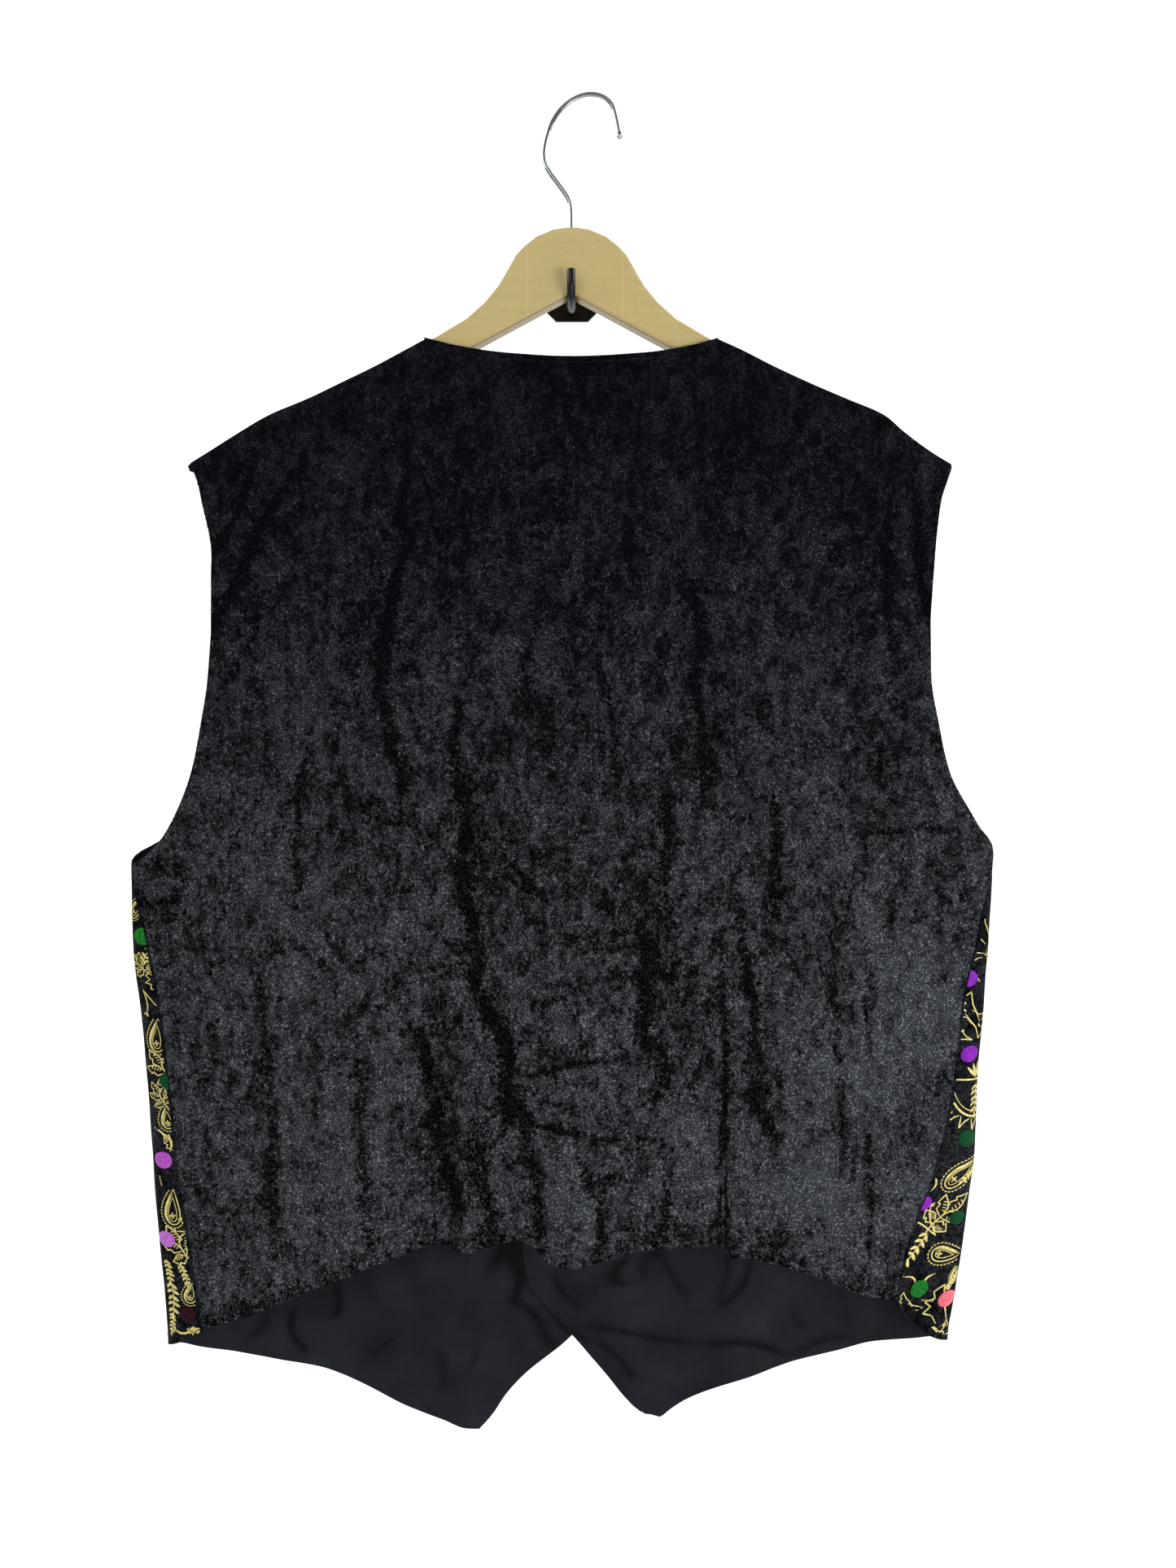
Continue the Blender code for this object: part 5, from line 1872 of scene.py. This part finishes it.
# One repeat of the print on the flat of the fronts: block, across, up, turn in degrees, size
REPEAT_BLOCKS = (
    (Motif.PAISLEY, -32.7, 41.3, -24, 1.0), (Motif.SAW_LEAF, -8.6, 37.8, 34, 1.05),
    (Motif.FORK, 12.0, 46.4, -14, 1.0), (Motif.SPRIG, 29.2, 39.6, 14, 1.1),
    (Motif.CRESCENT, 43.0, 25.8, -40, 1.0), (Motif.ROUND_PAISLEY, 10.3, 18.9, -92, 1.05),
    (Motif.CRESCENT, -10.3, 13.8, -18, 1.0), (Motif.MEDALLION, -31.0, 10.3, 0, 1.0),
    (Motif.FRINGE, -31.0, -7.0, 0, 1.12), (Motif.SPRIG, 31.0, 8.6, 160, 0.9),
    (Motif.SAW_LEAF, 37.8, -13.8, -140, 1.0), (Motif.PAISLEY, 12.0, -15.5, 156, 1.0),
    (Motif.SPRIG, -8.6, -18.9, 24, 1.1), (Motif.FORK, -29.2, -34.4, 120, 1.0),
    (Motif.ROUND_PAISLEY, -8.6, -44.7, 60, 1.05), (Motif.CRESCENT, 13.8, -43.0, 90, 1.0),
    (Motif.SAW_LEAF, 32.7, -44.7, 20, 1.0), (Motif.BEADS, -44.7, -13.8, 0, 1.0),
    (Motif.BEADS, 46.4, 53.3, 30, 1.0), (Motif.SPRIG, -34.4, -56.8, -40, 0.9),
)
REPEAT_SIZE = (101.5, 129.0)
REPEAT_START = (58.0, -90.0)


def repeated(side: Side, rows: Sequence[tuple]) -> list[tuple]:
    """Lay the rows of one repeat out over the whole front, every other column half a repeat lower.

    Args:
        side: Which front.
        rows: Rows of a thing, its places across and up, and what else belongs to it.

    Returns:
        The same rows for each repeat, with distance out and height as their places.
    """
    (start_out, start_z), (wide, high) = REPEAT_START, REPEAT_SIZE
    return [(thing, start_out + i * wide - side.sign * across,
             start_z - j * high - (i % 2) * high / 2 + up, *rest)
            for i in range(-1, 4) for j in range(-1, 8) for thing, across, up, *rest in rows]


@dataclass(frozen=True)
class FoilPrint(Finish):
    """Pale gold foil pressed on printed glue: bright, broken, and dull where it is thin."""

    bright: str = "#D9CF82"
    thin: str = "#A3904C"

    def material(self) -> bpy.types.Material:
        """Make the material."""
        material, tree, shader, places = self.begin()
        wear = add_node(tree, "ShaderNodeTexNoise", {
            "Vector": places, "Scale": per_metre(1.4), "Detail": 4.0, "Roughness": 0.7})
        share = add_node(tree, "ShaderNodeMapRange", {
            "Value": wear, "From Min": 0.42, "From Max": 0.66})
        tone = add_node(tree, "ShaderNodeMix", {
            0: share, FIRST: linear(self.bright), SECOND: linear(self.thin)}, data_type="RGBA")
        bump = add_node(tree, "ShaderNodeBump", {
            "Strength": 0.4, "Distance": 0.15 * MM, "Height": wear})
        fill(tree, shader, {
            "Base Color": tone.outputs[MIXED], "Normal": bump, "Metallic": 0.25,
            "Roughness": 0.5})
        return material


@dataclass(frozen=True)
class SpangleFoil(Finish):
    """Dyed foil on a plastic disc: clear strong colour, slightly crinkled."""

    colour: str = "#FFFFFF"
    shade: str = "#000000"

    def material(self) -> bpy.types.Material:
        """Make the material."""
        material, tree, shader, places = self.begin()
        crinkle = add_node(tree, "ShaderNodeTexNoise", {
            "Vector": places, "Scale": per_metre(1.6), "Detail": 3.0, "Distortion": 0.8})
        share = add_node(tree, "ShaderNodeMapRange", {
            "Value": crinkle, "From Min": 0.35, "From Max": 0.7})
        tone = add_node(tree, "ShaderNodeMix", {
            0: share, FIRST: linear(self.colour), SECOND: linear(self.shade)}, data_type="RGBA")
        bump = add_node(tree, "ShaderNodeBump", {
            "Strength": 0.3, "Distance": 0.2 * MM, "Height": crinkle})
        fill(tree, shader, {
            "Base Color": tone.outputs[MIXED], "Normal": bump, "Roughness": 0.5,
            "Specular IOR Level": 0.06})
        return material


@dataclass
class GoldPrint:
    """The gold block print on one front."""

    panel: FrontPanel
    above: float = 0.28
    layer: float = 0.03
    margin: float = 1.2
    # Finest lines, against those of a block in full size
    finest: float = 0.72
    # How far round the side fold the repeat goes below the armhole, and how far that reaches up
    past_fold: float = 7.0
    below_pit: float = 14.0

    def seen_out(self, x: float, z: float) -> float:
        """Distance out along the front of a place seen on the back.

        Args:
            x: Place across.
            z: Height.

        Returns:
            The distance.
        """
        form, sign = self.panel.form, self.panel.side.sign
        centre, radius = float(form.nose_centre(z, sign)), float(form.nose_radius(z))
        beyond = abs(x) - centre
        if beyond <= 0:
            return centre + math.pi * radius - beyond
        return centre + radius * (math.pi - math.asin(min(1.0, beyond / (radius + form.velvet))))

    def blocks(self) -> list[tuple[Motif, float, float, float, float]]:
        """Every block of the front.

        Returns:
            Rows of block, distance out, height, turn in degrees and size.
        """
        side, form = self.panel.side, self.panel.form
        rows = [(motif, self.seen_out(x, z), z, turn, size)
                for motif, x, z, turn, size in SEEN_BLOCKS[side]]
        for motif, out, z, turn, size in repeated(side, REPEAT_BLOCKS):
            shown_behind = z < PIT_Z[side] + self.below_pit
            if not shown_behind or out <= form.nose_centre(z, side.sign) + self.past_fold:
                rows.append((motif, out, z, turn, size))
        return rows

    def on_cloth(self, out: np.ndarray, z: np.ndarray) -> np.ndarray:
        """Whether places lie on the front, a little inside its edges.

        Args:
            out: Distance out.
            z: Height.

        Returns:
            True for each place on the cloth.
        """
        form, side = self.panel.form, self.panel.side
        x = np.clip(side.sign * out, 1.0 - TIP_OUT[Side.LEFT], TIP_OUT[Side.RIGHT] - 1.0)
        closing = side.sign * CLOSING[side].read(z)
        inside = out < form.front_edge(z, side) - self.margin
        inside &= out > closing + self.margin
        inside &= form.uncovered(out, z, side, 0.4)
        inside &= z > FRONT_HEM[side].read(out) + self.margin
        return inside & ((z < form.panel_top(x) - 1.0) | (z < -390.0))

    def build(self, foil: bpy.types.Material) -> bpy.types.Object:
        """Print the front.

        Args:
            foil: Finish of the print.

        Returns:
            The print.
        """
        side, form = self.panel.side, self.panel.form
        outs, heights, layers, starts = [], [], [], [0]
        drawn = {motif: motif.strokes() for motif in Motif}
        for motif, out, z, turn, size in self.blocks():
            cos, sin = math.cos(math.radians(turn)), math.sin(math.radians(turn))
            for k, part in enumerate(drawn[motif]):
                path, along = part.path * size, np.gradient(part.path, axis=0)
                normal = np.stack((-along[:, 1], along[:, 0]), axis=1)
                normal /= np.maximum(np.linalg.norm(normal, axis=1, keepdims=True), 1e-6)
                half = normal * part.width[:, None] / 2 * min(1.0, max(self.finest, size))
                edges = np.stack((path - half, path + half), axis=1).reshape(-1, 2)
                across = edges[:, 0] * cos - edges[:, 1] * sin
                up = edges[:, 0] * sin + edges[:, 1] * cos
                outs.append(out - side.sign * across)
                heights.append(z + up)
                layers.append(np.full(len(edges), self.layer * (k % 4)))
                starts.append(starts[-1] + len(edges))
        out, z = np.concatenate(outs), np.concatenate(heights)
        keep = self.on_cloth(out, z)
        relief = form.front_relief(out, z, side)
        lift = form.velvet + relief + self.above + np.concatenate(layers)
        points = form.front_place(out, z, side, lift)
        faces = []
        for first, last in zip(starts, starts[1:]):
            for a in range(first, last - 2, 2):
                if keep[a:a + 4].all():
                    quad = (a, a + 1, a + 3, a + 2)
                    faces.append(quad if side is Side.RIGHT else quad[::-1])
        used = np.unique(np.array(faces))
        number = np.zeros(len(points), int)
        number[used] = np.arange(len(used))
        piece = add_mesh("gold_print_" + side.label, points[used],
                         [tuple(number[list(face)].tolist()) for face in faces], (foil,))
        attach(piece, "root")
        return piece


class Colour(Enum):
    """Colours of the spangles: name in the finish, clear colour and shaded colour."""

    GREEN = ("green", "#1A7A26", "#064310")
    BOTTLE = ("bottle_green", "#0A4A26", "#052613")
    PURPLE = ("purple", "#8E2AB8", "#5C1486")
    ORCHID = ("orchid", "#B45AC0", "#8E3A9C")
    LILAC = ("lilac", "#B872C4", "#9A52A8")
    PINK = ("pink", "#E07584", "#C85768")
    MAROON = ("maroon", "#2E0714", "#17030A")


# Spangles on the sides that wrap to the back, as seen there: colour, x, z, diameter
SEEN_SPANGLES = {
    Side.LEFT: (
        (Colour.GREEN, -280.5, -440.0, 11.5), (Colour.BOTTLE, -264.5, -535.0, 11.0),
        (Colour.ORCHID, -267.4, -586.8, 11.0), (Colour.LILAC, -265.8, -639.0, 10.5),
        (Colour.MAROON, -251.6, -688.4, 10.5),
    ),
    Side.RIGHT: (
        (Colour.PURPLE, 260.3, -467.5, 11.0), (Colour.PURPLE, 261.0, -517.0, 11.0),
        (Colour.BOTTLE, 260.0, -572.4, 11.5), (Colour.PURPLE, 231.6, -615.0, 9.5),
        (Colour.BOTTLE, 252.9, -624.5, 9.0), (Colour.GREEN, 228.4, -671.4, 11.6),
        (Colour.PINK, 247.0, -678.3, 11.0),
    ),
}

# Spangles of one repeat: colour, across, up
REPEAT_SPANGLES = (
    (Colour.GREEN, -6.9, 25.8), (Colour.PURPLE, -44.7, 25.8), (Colour.PINK, 44.7, 39.6),
    (Colour.ORCHID, 15.5, 1.7), (Colour.BOTTLE, -31.0, -15.5), (Colour.MAROON, 25.8, -29.2),
    (Colour.GREEN, -18.9, -55.0), (Colour.PURPLE, 40.0, -57.0),
)


@dataclass
class Spangles:
    """The round coloured spangles of one front."""

    gold: GoldPrint
    sides: int = 22
    diameter: float = 11.0
    off_edge: float = 9.0
    off_top: float = 12.0
    past_fold: float = 14.0
    glue: float = 0.15
    # Profile of a spangle: share of its radius, height above the print
    profile: tuple[tuple[float, float], ...] = (
        (0.0, 0.62), (0.45, 0.60), (0.80, 0.52), (0.95, 0.38), (1.0, 0.18), (0.9, 0.05),
        (0.0, 0.05),
    )

    def places(self) -> list[tuple[Colour, float, float, float]]:
        """Every spangle of the front.

        Returns:
            Rows of colour, distance out, height and diameter.
        """
        side, form = self.gold.panel.side, self.gold.panel.form
        rows = [(colour, self.gold.seen_out(x, z), z, diameter)
                for colour, x, z, diameter in SEEN_SPANGLES[side]]
        for colour, out, z in repeated(side, REPEAT_SPANGLES):
            edge = form.front_edge(np.float64(z), side)
            if z < PIT_Z[side] + self.gold.below_pit:
                edge = form.nose_centre(z, side.sign) + self.past_fold
            inner, low = side.sign * CLOSING[side].read(z), FRONT_HEM[side].read(out)
            high = form.panel_top(min(250.0, out) * side.sign)
            on_cloth = inner + self.off_edge < out < edge - self.off_edge
            on_cloth = on_cloth and low + self.off_edge < z < high - self.off_top
            if on_cloth and form.uncovered(out, z, side, self.diameter / 2 + 1):
                rows.append((colour, out, z, self.diameter))
        return rows

    def build(self, foils: dict[Colour, bpy.types.Material]) -> bpy.types.Object:
        """Sew on the spangles.

        Args:
            foils: Finish of each colour.

        Returns:
            All spangles of the front as one piece.
        """
        panel = self.gold.panel
        form, side = panel.form, panel.side
        turn = np.arange(self.sides) * math.tau / self.sides
        runs, faces, numbers = [], [], []
        colours = list(Colour)
        for colour, out, z, diameter in self.places():
            across, up, rise = [0.0], [0.0], [self.profile[0][1]]
            for share, height in self.profile[1:-1]:
                across.extend(diameter / 2 * share * np.cos(turn))
                up.extend(diameter / 2 * share * np.sin(turn))
                rise.extend([height] * self.sides)
            across.append(0.0)
            up.append(0.0)
            rise.append(self.profile[-1][1])
            far, high = out - side.sign * np.array(across), z + np.array(up)
            edge = form.front_edge(high, side) - 0.4
            far = np.minimum(far, edge)
            relief = form.front_relief(np.full(1, out), np.full(1, z), side)
            lift = form.velvet + relief + self.gold.above + self.glue + np.array(rise)
            own, count, rings = [], self.sides, len(self.profile) - 2
            for k in range(count):
                m = (k + 1) % count
                own.append((0, 1 + k, 1 + m))
                for ring in range(rings - 1):
                    a, b = 1 + ring * count, 1 + (ring + 1) * count
                    own.append((a + k, b + k, b + m, a + m))
                last = 1 + (rings - 1) * count
                own.append((last + m, last + k, rings * count + 1))
            if side is Side.LEFT:
                own = [face[::-1] for face in own]
            runs.append(form.front_place(far, high, side, lift))
            faces.append([face[::-1] for face in own])
            numbers.extend([colours.index(colour)] * len(own))
        points, all_faces = joined(runs, faces)
        piece = add_mesh("spangles_" + side.label, points, all_faces,
                         [foils[colour] for colour in colours])
        piece.data.polygons.foreach_set("material_index", np.array(numbers, np.int32))
        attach(piece, "root")
        return piece


@dataclass(frozen=True)
class SpunThread(Finish):
    """Spun polyester thread: a soft twist that catches a little light on its crown."""

    dark: str = "#08090A"
    light: str = "#24262A"

    def material(self) -> bpy.types.Material:
        """Make the material."""
        material, tree, shader, places = self.begin()
        twist = add_node(tree, "ShaderNodeTexNoise", {
            "Vector": places, "Scale": per_metre(0.5), "Detail": 2.0})
        tone = add_node(tree, "ShaderNodeMix", {
            0: twist, FIRST: linear(self.dark), SECOND: linear(self.light)}, data_type="RGBA")
        fill(tree, shader, {
            "Base Color": tone.outputs[MIXED], "Roughness": 0.75, "Specular IOR Level": 0.15})
        return material


@dataclass
class Topstitching:
    """The visible seams: neckline, armholes and hems, and the closing edges of the fronts."""

    form: VestForm
    pitch: float = 3.0
    length: float = 2.2
    lead: float = 0.4
    # How far the stitches at the armholes stay off their lower and upper ends
    off_pit: float = 7.0
    off_tip: float = 6.0
    front_tip: float = 248.0
    # Half width and height of the thread along one stitch, from its start to its end
    halves: tuple[float, ...] = (0.12, 0.24, 0.24, 0.12)
    heights: tuple[float, ...] = (-0.10, 0.30, 0.30, -0.10)

    def sewn(self, low: np.ndarray, high: np.ndarray) -> tuple[np.ndarray, list[tuple[int, ...]]]:
        """Stitches along one line.

        Args:
            low: Points of the line on the cloth.
            high: The same points a millimetre above the cloth.

        Returns:
            Points and faces of the stitches.
        """
        run = np.concatenate(([0.0], np.cumsum(np.linalg.norm(np.diff(low, axis=0), axis=1))))
        count = int(run[-1] // self.pitch)
        rings = len(self.halves)
        places = np.linspace(self.lead, self.lead + self.length, rings)
        places = np.arange(count)[:, None] * self.pitch + places
        middle, above = (np.stack([np.interp(places, run, line[:, k]) for k in range(3)], axis=-1)
                         for line in (low, high))
        normal = above - middle
        normal /= np.linalg.norm(normal, axis=-1, keepdims=True)
        way = np.gradient(middle, axis=1)
        way /= np.linalg.norm(way, axis=-1, keepdims=True)
        beside_way = np.cross(way, normal)
        half = np.array(self.halves)[None, :, None]
        middle = middle + normal * np.array(self.heights)[None, :, None]
        ring = np.stack((middle + beside_way * half, middle + normal * half,
                         middle - beside_way * half, middle - normal * half), axis=2)
        own = [(0, 1, 2, 3), tuple(4 * (rings - 1) + k for k in (3, 2, 1, 0))]
        for r in range(rings - 1):
            for k in range(4):
                a, b = 4 * r + k, 4 * r + (k + 1) % 4
                own.append((a, a + 4, b + 4, b))
        faces = [tuple(start + n for n in face) for start in range(0, count * 4 * rings, 4 * rings)
                 for face in own]
        return ring.reshape(-1, 3), faces

    def back(self, thread: bpy.types.Material) -> bpy.types.Object:
        """Sew the back.

        Args:
            thread: Finish of the thread.

        Returns:
            The stitches as one piece.
        """
        form = self.form
        neck = np.linspace(-91.0, 91.0, 240)
        hem = np.linspace(BACK_HEM[0][0] + 6, BACK_HEM[-1][0] - 6, 500)
        lines = [(neck, TOP.read(neck) - form.neck_stitch), (hem, HEM.read(hem) + form.hem)]
        for side in Side:
            top = form.panel_top(np.float64(side.sign * (TIP_OUT[side] - 4.0)))
            z = np.linspace(PIT_Z[side] + self.off_pit, top - self.off_tip, 300)
            lines.append((side.sign * (form.back_edge(z, side) - form.band), z))
        sewn = []
        for x, z in lines:
            lift = form.velvet + form.back_relief(x, z)
            sewn.append(self.sewn(*(form.back_place(x, z, lift + up) for up in (0.0, 1.0))))
        piece = add_mesh("topstitching_back", *joined(*zip(*sewn)), (thread,))
        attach(piece, "root")
        return piece

    def front(self, side: Side, thread: bpy.types.Material) -> bpy.types.Object:
        """Sew one front.

        Args:
            side: Which front.
            thread: Finish of the thread.

        Returns:
            The stitches as one piece.
        """
        form, hem = self.form, FRONT_HEM[side]
        out = np.linspace(hem.keys[0] + 8.0, hem.keys[-1] - 3.0, 420)
        inner = side.sign * CLOSING[side].read(hem.read(hem.keys[0]))
        lines = [(out[out > inner + 8.0], hem.read(out[out > inner + 8.0]) + form.hem)]
        low = float(hem.read(hem.keys[0])) + 12.0
        z = np.linspace(low, form.panel_top(np.float64(side.sign * form.neck_point)) - 10.0, 600)
        lines.append((side.sign * CLOSING[side].read(z) + 5.0, z))
        top = form.panel_top(np.float64(side.sign * self.front_tip))
        z = np.linspace(PIT_Z[side] + self.off_pit, top - self.off_tip, 300)
        lines.append((form.front_edge(z, side) - form.band, z))
        sewn = []
        for out, z in lines:
            lift = form.velvet + form.front_relief(out, z, side)
            sewn.append(self.sewn(*(form.front_place(out, z, side, lift + up)
                                    for up in (0.0, 1.0))))
        piece = add_mesh("topstitching_front_" + side.label, *joined(*zip(*sewn)), (thread,))
        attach(piece, "root")
        return piece


@dataclass
class PileFuzz:
    """Loose pile that stands off the cut edges of the back."""

    form: VestForm
    per_mm: float = 5.5
    shortest: float = 0.6
    longest: float = 1.7
    half: float = 0.11
    foot_in: float = 0.4
    ruffle: float = 0.45
    # Threads of the overlock seam: where they start, their share, and their size against the pile
    overlock: float = 56.0
    gold_share: float = 0.40
    gold_length: float = 1.1
    gold_width: float = 1.7

    def edges(self) -> list[tuple[np.ndarray, np.ndarray, float, float]]:
        """Edges with loose pile.

        Returns:
            Rows of places across, heights, and the way out across and up.
        """
        form = self.form
        neck = np.linspace(-form.neck_point, form.neck_point, 400)
        hem = np.linspace(BACK_HEM[0][0], BACK_HEM[-1][0], 700)
        rows = [(neck, TOP.read(neck), 0.0, 1.0), (hem, HEM.read(hem), 0.0, -1.0)]
        for side in Side:
            top = form.panel_top(np.float64(side.sign * (TIP_OUT[side] - 2.0)))
            z = np.linspace(PIT_Z[side] + 2.0, top - 2.0, 500)
            rows.append((side.sign * form.back_edge(z, side), z, side.sign, 0.0))
        return rows

    def build(self, pile: bpy.types.Material, thread: bpy.types.Material) -> bpy.types.Object:
        """Make the fuzz.

        Args:
            pile: Finish of the pile.
            thread: Finish of the overlock thread that shows at the ends of the neckline.

        Returns:
            All hairs as one piece.
        """
        form, chance = self.form, np.random.default_rng(5)
        runs, numbers = [], []
        for x, z, across, up in self.edges():
            along = np.concatenate(([0.0], np.cumsum(np.hypot(np.diff(x), np.diff(z)))))
            count = int(along[-1] * self.per_mm)
            places = chance.uniform(0, along[-1], count)
            x, z = np.interp(places, along, x), np.interp(places, along, z)
            back_x, back_z = x - across * self.foot_in, z - up * self.foot_in
            lift = form.back_relief(back_x, back_z) + chance.uniform(0.15, form.velvet - 0.1, count)
            foot = form.back_place(back_x, back_z, lift)
            way = foot - form.back_place(back_x - across, back_z - up, lift)
            way += chance.normal(0.0, self.ruffle, way.shape)
            way /= np.linalg.norm(way, axis=1, keepdims=True)
            gold = (up > 0) & (np.abs(x) > self.overlock) & (chance.random(count) < self.gold_share)
            length = chance.uniform(self.shortest, self.longest, count)
            length = length * np.where(gold, self.gold_length, 1.0)
            half = self.half * np.where(gold, self.gold_width, 1.0)[:, None]
            first = np.cross(way, (0.31, 0.90, 0.29))
            first /= np.linalg.norm(first, axis=1, keepdims=True)
            second = np.cross(way, first)
            corners = [foot + half * (math.cos(t) * first + math.sin(t) * second)
                       for t in (0.0, math.tau / 3, 2 * math.tau / 3)]
            tips = foot + way * length[:, None]
            runs.append(np.stack((*corners, tips), axis=1).reshape(-1, 3))
            numbers.append(np.repeat(gold.astype(np.int32), 4))
        points = np.concatenate(runs)
        faces = [tuple(start + n for n in face) for start in range(0, len(points), 4)
                 for face in ((0, 1, 3), (1, 2, 3), (2, 0, 3), (2, 1, 0))]
        piece = add_mesh("pile_fuzz", points, faces, (pile, thread))
        piece.data.polygons.foreach_set("material_index", np.concatenate(numbers))
        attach(piece, "root")
        return piece


@dataclass
class Hardware:
    """The hanger, its wire hook, the wall hook and the buttons, whose solids stay as they are."""

    nodes: dict[str, bpy.types.Object]

    def dress(self, node: str, material: bpy.types.Material) -> None:
        """Give one solid its finish.

        Args:
            node: Name of the solid.
            material: Its finish.
        """
        slots = self.nodes[node].data.materials
        slots.clear()
        slots.append(material)


@dataclass
class Studio:
    """Pale floor and wall, soft lights and the camera."""

    camera_at: tuple[float, float, float] = (11.0, -812.0, -340.1)
    lens: float = 27.03
    sensor: float = 36.0
    floor_z: float = -900.0
    wall_y: float = 1500.0
    room: float = 6000.0
    curve: float = 500.0
    curve_steps: int = 12
    # Soft lights: place and aim in metres, size, power in watts
    lights: tuple[tuple[Place, Place, float, float], ...] = (
        ((-0.95, -1.3, 0.25), (0.0, -0.03, -0.35), 0.8, 4.6),
        ((1.15, -1.15, -0.75), (0.08, -0.03, -0.50), 0.8, 19.0),
        ((0.0, -0.9, 0.9), (0.0, -0.03, -0.10), 0.7, 2.0),
        ((-1.7, 0.1, 0.9), (-0.5, 1.5, -0.3), 1.4, 34.0),
        ((1.7, 0.1, 0.9), (0.5, 1.5, -0.3), 1.4, 34.0),
    )
    sky: float = 0.30

    def backdrop(self, paint: bpy.types.Material) -> None:
        """Make the floor and wall in one sweep.

        Args:
            paint: Finish of the sweep.
        """
        half, bend = self.room / 2, self.curve
        profile = [(-self.room, self.floor_z), (self.wall_y - bend, self.floor_z)]
        for k in range(1, self.curve_steps + 1):
            turn = math.radians(90 * k / self.curve_steps)
            profile.append((self.wall_y - bend + bend * math.sin(turn),
                            self.floor_z + bend - bend * math.cos(turn)))
        profile.append((self.wall_y, self.floor_z + self.room))
        points = np.array([(x, y, z) for y, z in profile for x in (-half, half)])
        sweep = add_mesh("backdrop", points, sheet_faces(len(profile), 2, 0, False), (paint,))

    def light(self) -> None:
        """Hang the lights and set the pale sky."""
        for k, (place, aim, size, power) in enumerate(self.lights):
            lamp = bpy.data.lights.new(f"soft_light_{k + 1}", "AREA")
            lamp.shape, lamp.size, lamp.energy = "SQUARE", size, power
            holder = bpy.data.objects.new(lamp.name, lamp)
            holder.location = place
            gaze = Vector(aim) - Vector(place)
            holder.rotation_euler = gaze.to_track_quat("-Z", "Y").to_euler()
            bpy.context.scene.collection.objects.link(holder)
        world = bpy.data.worlds.new("studio")
        world.use_nodes = True
        sky = world.node_tree.nodes["Background"]
        sky.inputs["Color"].default_value = (1.0, 1.0, 1.0, 1.0)
        sky.inputs["Strength"].default_value = self.sky
        bpy.context.scene.world = world

    def camera(self) -> None:
        """Place the camera, level and square to the wall."""
        data = bpy.data.cameras.new("camera")
        data.lens, data.sensor_width = self.lens, self.sensor
        holder = bpy.data.objects.new("camera", data)
        holder.location = Vector(self.camera_at) * MM
        holder.rotation_euler = (math.pi / 2, 0.0, 0.0)
        bpy.context.scene.collection.objects.link(holder)
        bpy.context.scene.camera = holder


def main() -> None:
    """Build the vest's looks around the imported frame."""
    logging.basicConfig(level=logging.INFO, format="%(name)s: %(message)s")
    for scene_object in list(bpy.data.objects):
        bpy.data.objects.remove(scene_object)
    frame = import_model()
    form = VestForm()
    velvet = CrushedVelvet("crushed_velvet_black").material()
    printed = CrushedVelvet("crushed_velvet_printed_ground", lain="#1D1E21",
                            glint="#62666C").material()
    weave = PlainWeave("plain_weave_cotton_black").material()

    back = BackPanel(form)
    back_piece = back.build(velvet, weave)
    thread = SpunThread("spun_polyester_thread_black").material()
    gold_thread = SpunThread("spun_thread_old_gold", "#5A4413", "#A8863A").material()
    seams = Topstitching(form)
    seam_piece = seams.back(thread)
    fuzz_piece = PileFuzz(form).build(velvet, gold_thread)
    LOG.info("back: %d faces, seams %d, fuzz %d", len(back_piece.data.polygons),
             len(seam_piece.data.polygons), len(fuzz_piece.data.polygons))
    foil = FoilPrint("pale_gold_foil_print").material()
    foils = {}
    for colour in Colour:
        name, clear, shaded = colour.value
        foils[colour] = SpangleFoil("spangle_foil_" + name, clear, shaded).material()
    for side in Side:
        panel = FrontPanel(form, side)
        front_piece = panel.build(printed, weave)
        gold = GoldPrint(panel)
        printed_piece = gold.build(foil)
        sewn_piece = Spangles(gold).build(foils)
        hem_piece = seams.front(side, thread)
        LOG.info("%s print: %d faces", side.label, len(printed_piece.data.polygons))
        LOG.info("%s front: %d faces", side.label, len(front_piece.data.polygons))
        lining = FrontLining(FrontPanel(form, side, columns=190))
        lining_piece = lining.build(weave)
        LOG.info("%s lining: %d faces", side.label, len(lining_piece.data.polygons))

    hardware = Hardware(frame["nodes"])
    hardware.dress("hanger_body", LacqueredBeech("lacquered_beech").material())
    hardware.dress("hanger_hook", ZincPlatedSteel("zinc_plated_wire").material())
    enamel = SatinEnamel("satin_black_enamel").material()
    hardware.dress("wall_hook_bar", enamel)
    hardware.dress("wall_hook_plate", enamel)
    resin = MouldedPlastic("polished_polyester_buttons").material()
    for number in range(len(BUTTON_HEIGHTS)):
        hardware.dress(f"button_{number + 1}", resin)
    LOG.info("hanger, hooks and buttons dressed")

    studio = Studio()
    studio.backdrop(Paint("pale_studio_paint").material())
    studio.light()
    studio.camera()
    bpy.context.scene.view_settings.view_transform = "Standard"


if __name__ == "__main__":
    main()
